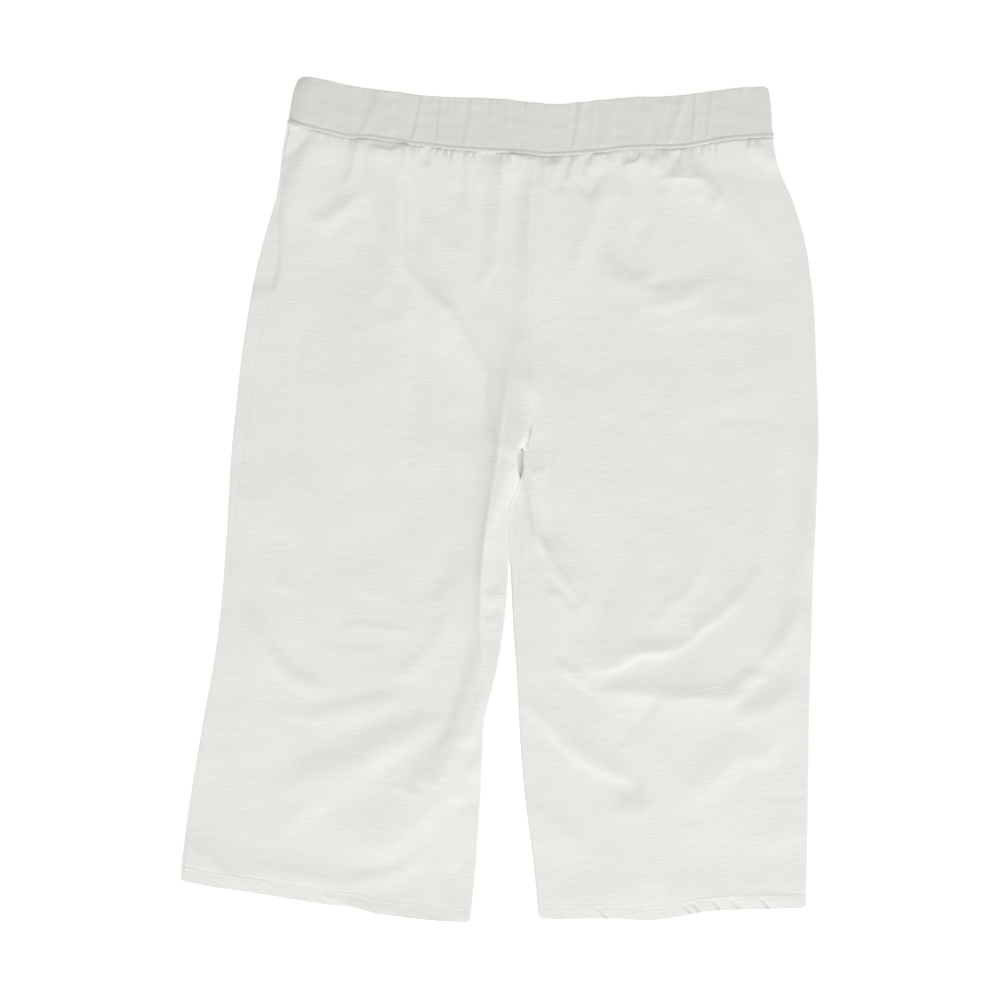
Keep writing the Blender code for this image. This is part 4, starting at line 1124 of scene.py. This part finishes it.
BAND_ROWS = (0.0, 0.012, 0.035, 0.08, 0.14, 0.2, 0.26, 0.32, 0.38, 0.44, 0.5, 0.56, 0.62,
             0.68, 0.74, 0.8, 0.86, 0.91, 0.95, 0.975, 0.99, 0.996, 1.0)
LEFT_END_ROUND, RIGHT_END_ROUND = 10.5, 3.0   # the band turns over its sides
LEFT_END_DROP, LEFT_END_DROP_WIDTH = 3.2, 9.0   # that end is pressed thin
BAND_FOOT = 0.5
BACK_BAND_INSET = 2.8
FOLD_ROUND = 0.4       # the fold at the top is pressed sharp
SEAM_DIP, SEAM_DIP_WIDTH = 0.15, 2.0
PUCKER_WANDER, PUCKER_UNEVEN = 1.1, 0.45
NICKS = np.arange(-200, 262, 4.2)      # small nicks at both edges of the band
NICK_WIDTH = 1.4
BACK_BAND_HIGH = 3.0
BACK_END_ROUND = 2.0
BAND_END_PLACES = np.array([0.0, 0.15, 0.5, 1.1, 1.9])
BAND_END_LENGTH = 2.8  # the even sections start this far in
ROUNDEST = 0.98        # the rounding stops just short of upright
BAND_WAVE, FOLD_WAVE = 0.26, 0.35      # faint unevenness of its face and of its fold
PUCKER_SHARE = 0.7     # the puckers are built at this part of their height


def puckers(x, share):
    total = np.zeros(np.shape(x))
    for at_seam, at_fold, height, left_width, right_width in PUCKERS:
        wander = PUCKER_WANDER * value_noise(0 * x + 9 * at_seam, 60 * share + 0 * x, (7, 14), 31)
        slow = value_noise(0 * x + 9 * at_seam, 60 * share + 0 * x, (7, 22), 33)
        uneven = 1 + PUCKER_UNEVEN * slow
        away = x - (at_seam + (at_fold - at_seam) * share) + wander
        width = np.where(away < 0, left_width, right_width)
        total += height * uneven * np.exp(-((away / width) ** 2))
    chance = np.random.default_rng(11)
    for place in NICKS:
        away = x - (place + chance.uniform(-2, 2) + chance.uniform(-4, 4) * share)
        at_seam = chance.uniform(0.0, 0.45) * np.exp(-share / 0.2)
        at_fold = chance.uniform(-1.0, 0.3) * np.exp((share - 1) / 0.12)
        total += (at_seam + at_fold) * np.exp(-((away / NICK_WIDTH) ** 2))
    return total


def band_shell(name, low, high, front):
    """Half the waistband as a closed strap, front face up or back face down."""
    length = BAND_ENDS[0][2] - BAND_ENDS[0][1]
    ends = BAND_END_PLACES / length
    step = BAND_STEP if front else 6 * BAND_STEP
    inner = np.arange(BAND_END_LENGTH, length - BAND_END_LENGTH, step) / length
    along = np.concatenate([ends, inner, 1 - ends[::-1]])
    share = np.array(BAND_ROWS)
    left = hermite(column(BAND_ENDS, BAND_ENDS_COLUMNS, "left"), share)
    right = hermite(column(BAND_ENDS, BAND_ENDS_COLUMNS, "right"), share)
    if not front:
        left, right = left + BACK_BAND_INSET, right - BACK_BAND_INSET
    x = left + (right - left) * along[:, None]
    start = hermite(WAIST_SEAM, x) + WELT_WIDTH / 2 + SEAM_GAP
    y = start + (hermite(BAND_TOP, x) - start) * share
    band = hermite(BAND_TOP, x) - start
    from_end = np.minimum(along, 1 - along)[:, None] * length
    from_fold = (1 - share) * band
    end_round = np.where(along < 0.5, LEFT_END_ROUND, RIGHT_END_ROUND)[:, None]
    end_inside = np.clip(1 - (from_end + 0.2) / (end_round if front else BACK_END_ROUND), 0, 1)
    fold_inside = np.clip(1 - (from_fold + 0.1) / FOLD_ROUND, 0, 1)
    inside = np.clip(np.hypot(end_inside, 0.7 * fold_inside), 0, ROUNDEST)
    if front:
        high = high - LEFT_END_DROP * np.exp(-along[:, None] * length / LEFT_END_DROP_WIDTH)
        faced = BAND_FOOT + (high - BAND_FOOT) * np.sqrt(1 - inside**2)
        at_welt = 0.3 + 0.7 * ease(share * band, 0, 4)
        faced = faced + (puckers(x, share) - 0.3) * (1 - end_inside) * PUCKER_SHARE * at_welt
        faced = faced - SEAM_DIP * np.exp(-((share * band / SEAM_DIP_WIDTH) ** 2))
        faced = faced + BAND_WAVE * value_noise(x, y, (14, 6), 21) * (1 - inside)
        y = y + FOLD_WAVE * value_noise(x, 0 * x, (7, 50), 5) * ease(share, 0.6, 1.0)
        plain = BAND_FOOT - 0.3 + (low - BAND_FOOT + 0.3) * ease(from_end[:, 0], 1.0, 2.6)
    else:
        faced = high - (high - low) * np.sqrt(1 - inside**2)
        plain = np.full(len(along), high)
    rows = []
    for k in range(len(along)):
        top_side = np.column_stack([x[k], y[k], faced[k]])
        under = np.array([[x[k, -1], y[k, -1], plain[k]], [x[k, 0], y[k, 0], plain[k]]])
        rows.append(np.concatenate([top_side, under, top_side[:1]]))
    return closed_strap(name, rows, BAND_JERSEY_PAINTED_SHADE)


def closed_strap(name, sections, material):
    """A closed mesh through sections whose last point repeats the first."""
    count = len(sections[0]) - 1
    points = np.concatenate([section[:-1] for section in sections])
    faces = []
    for k in range(len(sections) - 1):
        for i in range(count):
            a, b = k * count + i, k * count + (i + 1) % count
            faces.append((a, b, b + count, a + count))
    faces.append(tuple(range(count))[::-1])
    last = (len(sections) - 1) * count
    faces.append(tuple(range(last, last + count)))
    mesh = bpy.data.meshes.new(name)
    mesh.from_pydata((points * MM).tolist(), [], faces)
    if signed_volume(mesh) < 0:
        mesh.flip_normals()
    write_grain(mesh, points[:, :2] * MM)
    mesh.shade_smooth()
    mesh.set_sharp_from_angle(angle=math.radians(50))
    print(name, "faces:", len(faces))
    return new_piece(name, mesh, material)


def signed_volume(mesh):
    """Positive where the faces point out."""
    mesh.calc_loop_triangles()
    total = 0.0
    for triangle in mesh.loop_triangles:
        a, b, c = (mesh.vertices[i].co for i in triangle.vertices)
        total += a.dot(b.cross(c))
    return total / 6


band_front = band_shell("waistband_front_jersey", BAND_LOW, BAND_HIGH, front=True)
band_back = band_shell("waistband_back_jersey", 0.0, BACK_BAND_HIGH, front=False)

# %% [markdown]
# ## The topstitched waist seam
#
# The band is sewn on and the allowances are held down by two rows of stitches,
# so they stand up as a narrow welt. Across it the cloth dips at each needle
# and swells between them.

# %% The welt
WELT_STEP = 1.2
WELT_ROWS = 21
WELT_RELIEF_COLUMNS = ("across", "depth", "width")
WELT_RELIEF = (
    (-2.25, 0.5, 0.5), (-1.3, 0.1, 0.35), (0.1, 0.12, 0.35), (2.25, 0.75, 1.4),
)                      # the lower edge, the two needles, the edge at the band
WELT_NEEDLES = (-1.3, 0.1)
WELT_END_PLACES = np.array([0.0, 0.3, 0.9])
WELT_END_LENGTH = 1.6  # the even sections start this far in
WELT_END_ROUND = 1.2
WELT_WAVE = 0.05
LEFT_OF_SEAM, RIGHT_OF_SEAM = 375.5, 365.0    # heights at which it meets the two edges


def welt_shell(name, low, high, front):
    first, last = (float(edge("left_outer", LEFT_OF_SEAM)),
                   float(edge("right_outer", RIGHT_OF_SEAM)))
    step = WELT_STEP if front else 3 * WELT_STEP
    even = np.arange(first + WELT_END_LENGTH, last - WELT_END_LENGTH, step)
    xs = np.concatenate([first + WELT_END_PLACES, even, (last - WELT_END_PLACES)[::-1]])
    across = np.linspace(-WELT_WIDTH / 2, WELT_WIDTH / 2, WELT_ROWS)
    sections = []
    for x in xs:
        end_inside = max(0.0, 1 - min(x - first, last - x) / WELT_END_ROUND - 0.1)
        rise = (high - low) * math.sqrt(1 - 0.9 * end_inside**2) + 0 * across
        if front:
            for place, depth, width in WELT_RELIEF:
                rise = rise - depth * np.exp(-(((across - place) / width) ** 2))
            rise = rise + WELT_WAVE * math.sin(x / 0.9) * math.sin(x / 7.0)
        faced = low + rise if front else high - rise
        plain = low if front else high
        y = float(hermite(WAIST_SEAM, x))
        side_points = np.column_stack([np.full(WELT_ROWS, x), y + across, faced])
        under = np.array([[x, y + across[-1], plain], [x, y + across[0], plain]])
        sections.append(np.concatenate([side_points, under, side_points[:1]]))
    return closed_strap(name, sections, BAND_JERSEY_PAINTED_SHADE)


welt_front = welt_shell("waist_seam_front_welt", BAND_LOW, WELT_HIGH, front=True)
welt_back = welt_shell("waist_seam_back_welt", 0.0, BACK_BAND_HIGH, front=False)

# %% [markdown]
# ## The pocket bag
#
# The pocket hangs inside, from the slit in the side seam. Only its mouth
# shows, but the whole bag is there: one thin layer between front and back.

# %% The pocket bag
POCKET_COLUMNS = ("down", "left", "right")
POCKET = (
    (-294, -219.5, -160), (-280, -219.5, -128), (-250, -219.5, -102), (-230, -223.5, -90),
    (-200, -229.5, -83), (-150, -243, -82), (-100, -250, -85), (-40, -254, -92),
    (-10, -250, -112), (2, -238, -150),
)
POCKET_HIGH, POCKET_CLOTH = 1.9, 0.7
POCKET_ROWS, POCKET_POINTS = 60, 30


def pocket_shell():
    down, left, right = np.array(POCKET).T
    rows = []
    for y in np.linspace(-down[0], -down[-1], POCKET_ROWS):
        ends = np.interp(-y, down, left), np.interp(-y, down, right)
        x = np.linspace(*ends, POCKET_POINTS)
        z = POCKET_HIGH + 0.08 * value_noise(x, 0 * x + y, (20, 20), 2)
        rows.append(np.column_stack([x, 0 * x + y, z]))
    points = np.concatenate(rows)
    return shell("pocket_left_bag", points, [POCKET_POINTS] * len(rows), np.zeros(len(points)), "left",
                 POCKET_JERSEY, flip=True, thickness=POCKET_CLOTH)


pocket_bag = pocket_shell()

# %% [markdown]
# ## Stitches
#
# Each stitch is a short bead of thread that dives into the cloth at both ends.
# One bead is a tube of a few rings, and a loop lays copies of it along a seam,
# on the height of the cloth there, joined in one mesh for each seam.

# %% Lay stitches along a line
BEAD_RINGS = ((-0.5, 0.15, -0.9), (-0.36, 0.8, -0.2), (0.0, 1.0, 0.15), (0.36, 0.8, -0.2),
              (0.5, 0.15, -0.9))   # share of the length, of the radius, height in radii
BEAD_SIDES = 6
LOOK_AHEAD = 0.6       # a stitch points along this much of its line, both ways
INNER_MARGIN, OUTER_MARGIN = 4.4, 4.6      # the hem's stitches stop this far in
WELT_STITCHES = (-209, 270)
ON_CLOTH, IN_WELT = 0.02, 0.2
HEM_LINE_POINTS, WELT_LINE_POINTS = 400, 900


def stitch_mesh(name, centres, directions, length):
    """Beads of thread at the centres, each along its direction."""
    radius = THREAD / 2
    turn = np.arange(BEAD_SIDES) * 2 * math.pi / BEAD_SIDES
    points, faces = [], []
    for centre, run in zip(centres, directions):
        run = run / np.linalg.norm(run)
        side = np.cross([0, 0, 1], run)
        side = side / np.linalg.norm(side)
        up = np.cross(run, side)
        start = len(points)
        for share, size, lift in BEAD_RINGS:
            middle = centre + run * share * length + up * lift * radius
            for angle in turn:
                points.append(middle + radius * size * (side * math.cos(angle)
                                                        + up * math.sin(angle)))
        for ring in range(len(BEAD_RINGS) - 1):
            for i in range(BEAD_SIDES):
                a = start + ring * BEAD_SIDES + i
                b = start + ring * BEAD_SIDES + (i + 1) % BEAD_SIDES
                faces.append((a, b, b + BEAD_SIDES, a + BEAD_SIDES))
        faces.append(tuple(range(start, start + BEAD_SIDES))[::-1])
        end = start + (len(BEAD_RINGS) - 1) * BEAD_SIDES
        faces.append(tuple(range(end, end + BEAD_SIDES)))
    mesh = bpy.data.meshes.new(name)
    mesh.from_pydata((np.array(points) * MM).tolist(), [], faces)
    mesh.shade_smooth()
    print(name, "stitches:", len(centres))
    return new_piece(name, mesh, THREAD_WHITE)


def stitch_line(x, y, z):
    """Centres and directions of stitches spaced along a line of points."""
    line = np.column_stack([x, y, z])
    steps = np.linalg.norm(np.diff(line, axis=0), axis=1)
    run = np.concatenate([[0], np.cumsum(steps)])
    places = np.arange(STITCH / 2, run[-1], STITCH)
    centres = np.column_stack([np.interp(places, run, line[:, k]) for k in range(3)])
    ahead = np.column_stack([np.interp(places + LOOK_AHEAD, run, line[:, k]) for k in range(3)])
    behind = np.column_stack([np.interp(places - LOOK_AHEAD, run, line[:, k]) for k in range(3)])
    return centres, ahead - behind


def stitch_rows(name, lines):
    """One mesh of all stitches along several lines, each an x, a y and a z."""
    centres, directions = zip(*(stitch_line(*line) for line in lines))
    return stitch_mesh(name, np.concatenate(centres), np.concatenate(directions), BEAD_LENGTH)


def hem_stitches(side):
    """Both rows of the twin-needle hem on the front."""
    sign = -1 if side == "left" else 1
    lines = []
    for over in (HEM_DEPTH, HEM_DEPTH - NEEDLES_APART):
        y0 = HEM_LINE + over
        inner, outer = float(edge(side + "_inner", y0)), float(edge(side + "_outer", y0))
        start, stop = inner + sign * INNER_MARGIN, outer - sign * OUTER_MARGIN
        x = np.linspace(start, stop, HEM_LINE_POINTS)
        y = hermite(HEMS[side], x) + over
        lines.append((x, y, front_top(x, y, side) + ON_CLOTH))
    return stitch_rows("hem_%s_stitches" % side, lines)


def welt_stitches():
    x = np.linspace(*WELT_STITCHES, WELT_LINE_POINTS)
    on_welt = np.full(len(x), WELT_HIGH - IN_WELT)
    lines = [(x, hermite(WAIST_SEAM, x) + offset, on_welt) for offset in WELT_NEEDLES]
    return stitch_rows("waist_seam_stitches", lines)


stitches = {side: hem_stitches(side) for side in ("left", "right")}
waist_stitches = welt_stitches()

# %% [markdown]
# ## What each piece stands for
#
# Every shell takes the place of a solid of the imported model and lies on the one body that they all
# belong to.


def declare(piece, node):
    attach(piece, "root")
    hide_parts(node)


for side in ("left", "right"):
    declare(front_shells[side], "front_" + side)
    declare(back_shells[side], "back_" + side)
    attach(stitches[side], "root")
declare(band_front, "waistband_front")
declare(band_back, "waistband_back")
declare(welt_front, "waist_seam_front")
declare(welt_back, "waist_seam_back")
declare(pocket_bag, "pocket_left")
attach(waist_stitches, "root")

# %% [markdown]
# ## Table, light and camera
#
# The garment lies on white and is lit from one side with a large soft box,
# high enough that folds stay gentle. The light stands
# past the hems, a little to the right, so slopes that face the hems are bright.

# %% The table
def table_material():
    material, shader = new_material("white_light_table")
    shader.inputs["Base Color"].default_value = linear("#F7F7F7")
    shader.inputs["Roughness"].default_value = 0.9
    shader.inputs["Specular IOR Level"].default_value = 0.1
    shader.inputs["Emission Color"].default_value = linear("#FFFFFF")
    shader.inputs["Emission Strength"].default_value = 0.36
    return material


table_mesh = bpy.data.meshes.new("table")
half = 4.0             # metres
table_mesh.from_pydata([(-half, -half, 0), (half, -half, 0), (half, half, 0), (-half, half, 0)],
                       [], [(0, 1, 2, 3)])
table = new_piece("table", table_mesh, table_material())
table.location.z = -0.0002


# %% Lights
def far_soft_box(name, towards_light, strength, softness):
    """A light so far off that it is even over the table."""
    light = bpy.data.lights.new(name, "SUN")
    light.energy = strength
    light.angle = math.radians(softness)
    lamp = bpy.data.objects.new(name, light)
    lamp.rotation_euler = mathutils.Vector(towards_light).to_track_quat("Z", "Y").to_euler()
    bpy.context.collection.objects.link(lamp)
    return lamp


far_soft_box("key_soft_box", (0.28, -0.96, 0.47), 1.45, 22)
near_box = bpy.data.lights.new("near_soft_box", "AREA")
near_box.size = 1.2
near_box.energy = 8.0
near_box.color = (0.97, 0.985, 1.0)
near_lamp = bpy.data.objects.new("near_soft_box", near_box)
near_lamp.location = (0.35, -1.7, 0.95)
aim = mathutils.Vector((0, 0, 0)) - near_lamp.location
near_lamp.rotation_euler = aim.to_track_quat("-Z", "Y").to_euler()
bpy.context.collection.objects.link(near_lamp)
world = bpy.data.worlds.new("studio")
world.use_nodes = True
world.node_tree.nodes["Background"].inputs["Color"].default_value = linear("#FFFFFF")
world.node_tree.nodes["Background"].inputs["Strength"].default_value = 0.728
bpy.context.scene.world = world
bpy.context.scene.view_settings.view_transform = "Standard"

# %% The camera
CAMERA_HIGH = 3.4
VIEW_WIDTH = 1.0       # the camera sees one metre of table

camera_data = bpy.data.cameras.new("camera")
camera_data.sensor_width = 36.0
camera_data.lens = 36.0 * CAMERA_HIGH / VIEW_WIDTH
camera = bpy.data.objects.new("camera", camera_data)
camera.location = (0.0001, -0.0005, CAMERA_HIGH)
bpy.context.collection.objects.link(camera)
bpy.context.scene.camera = camera
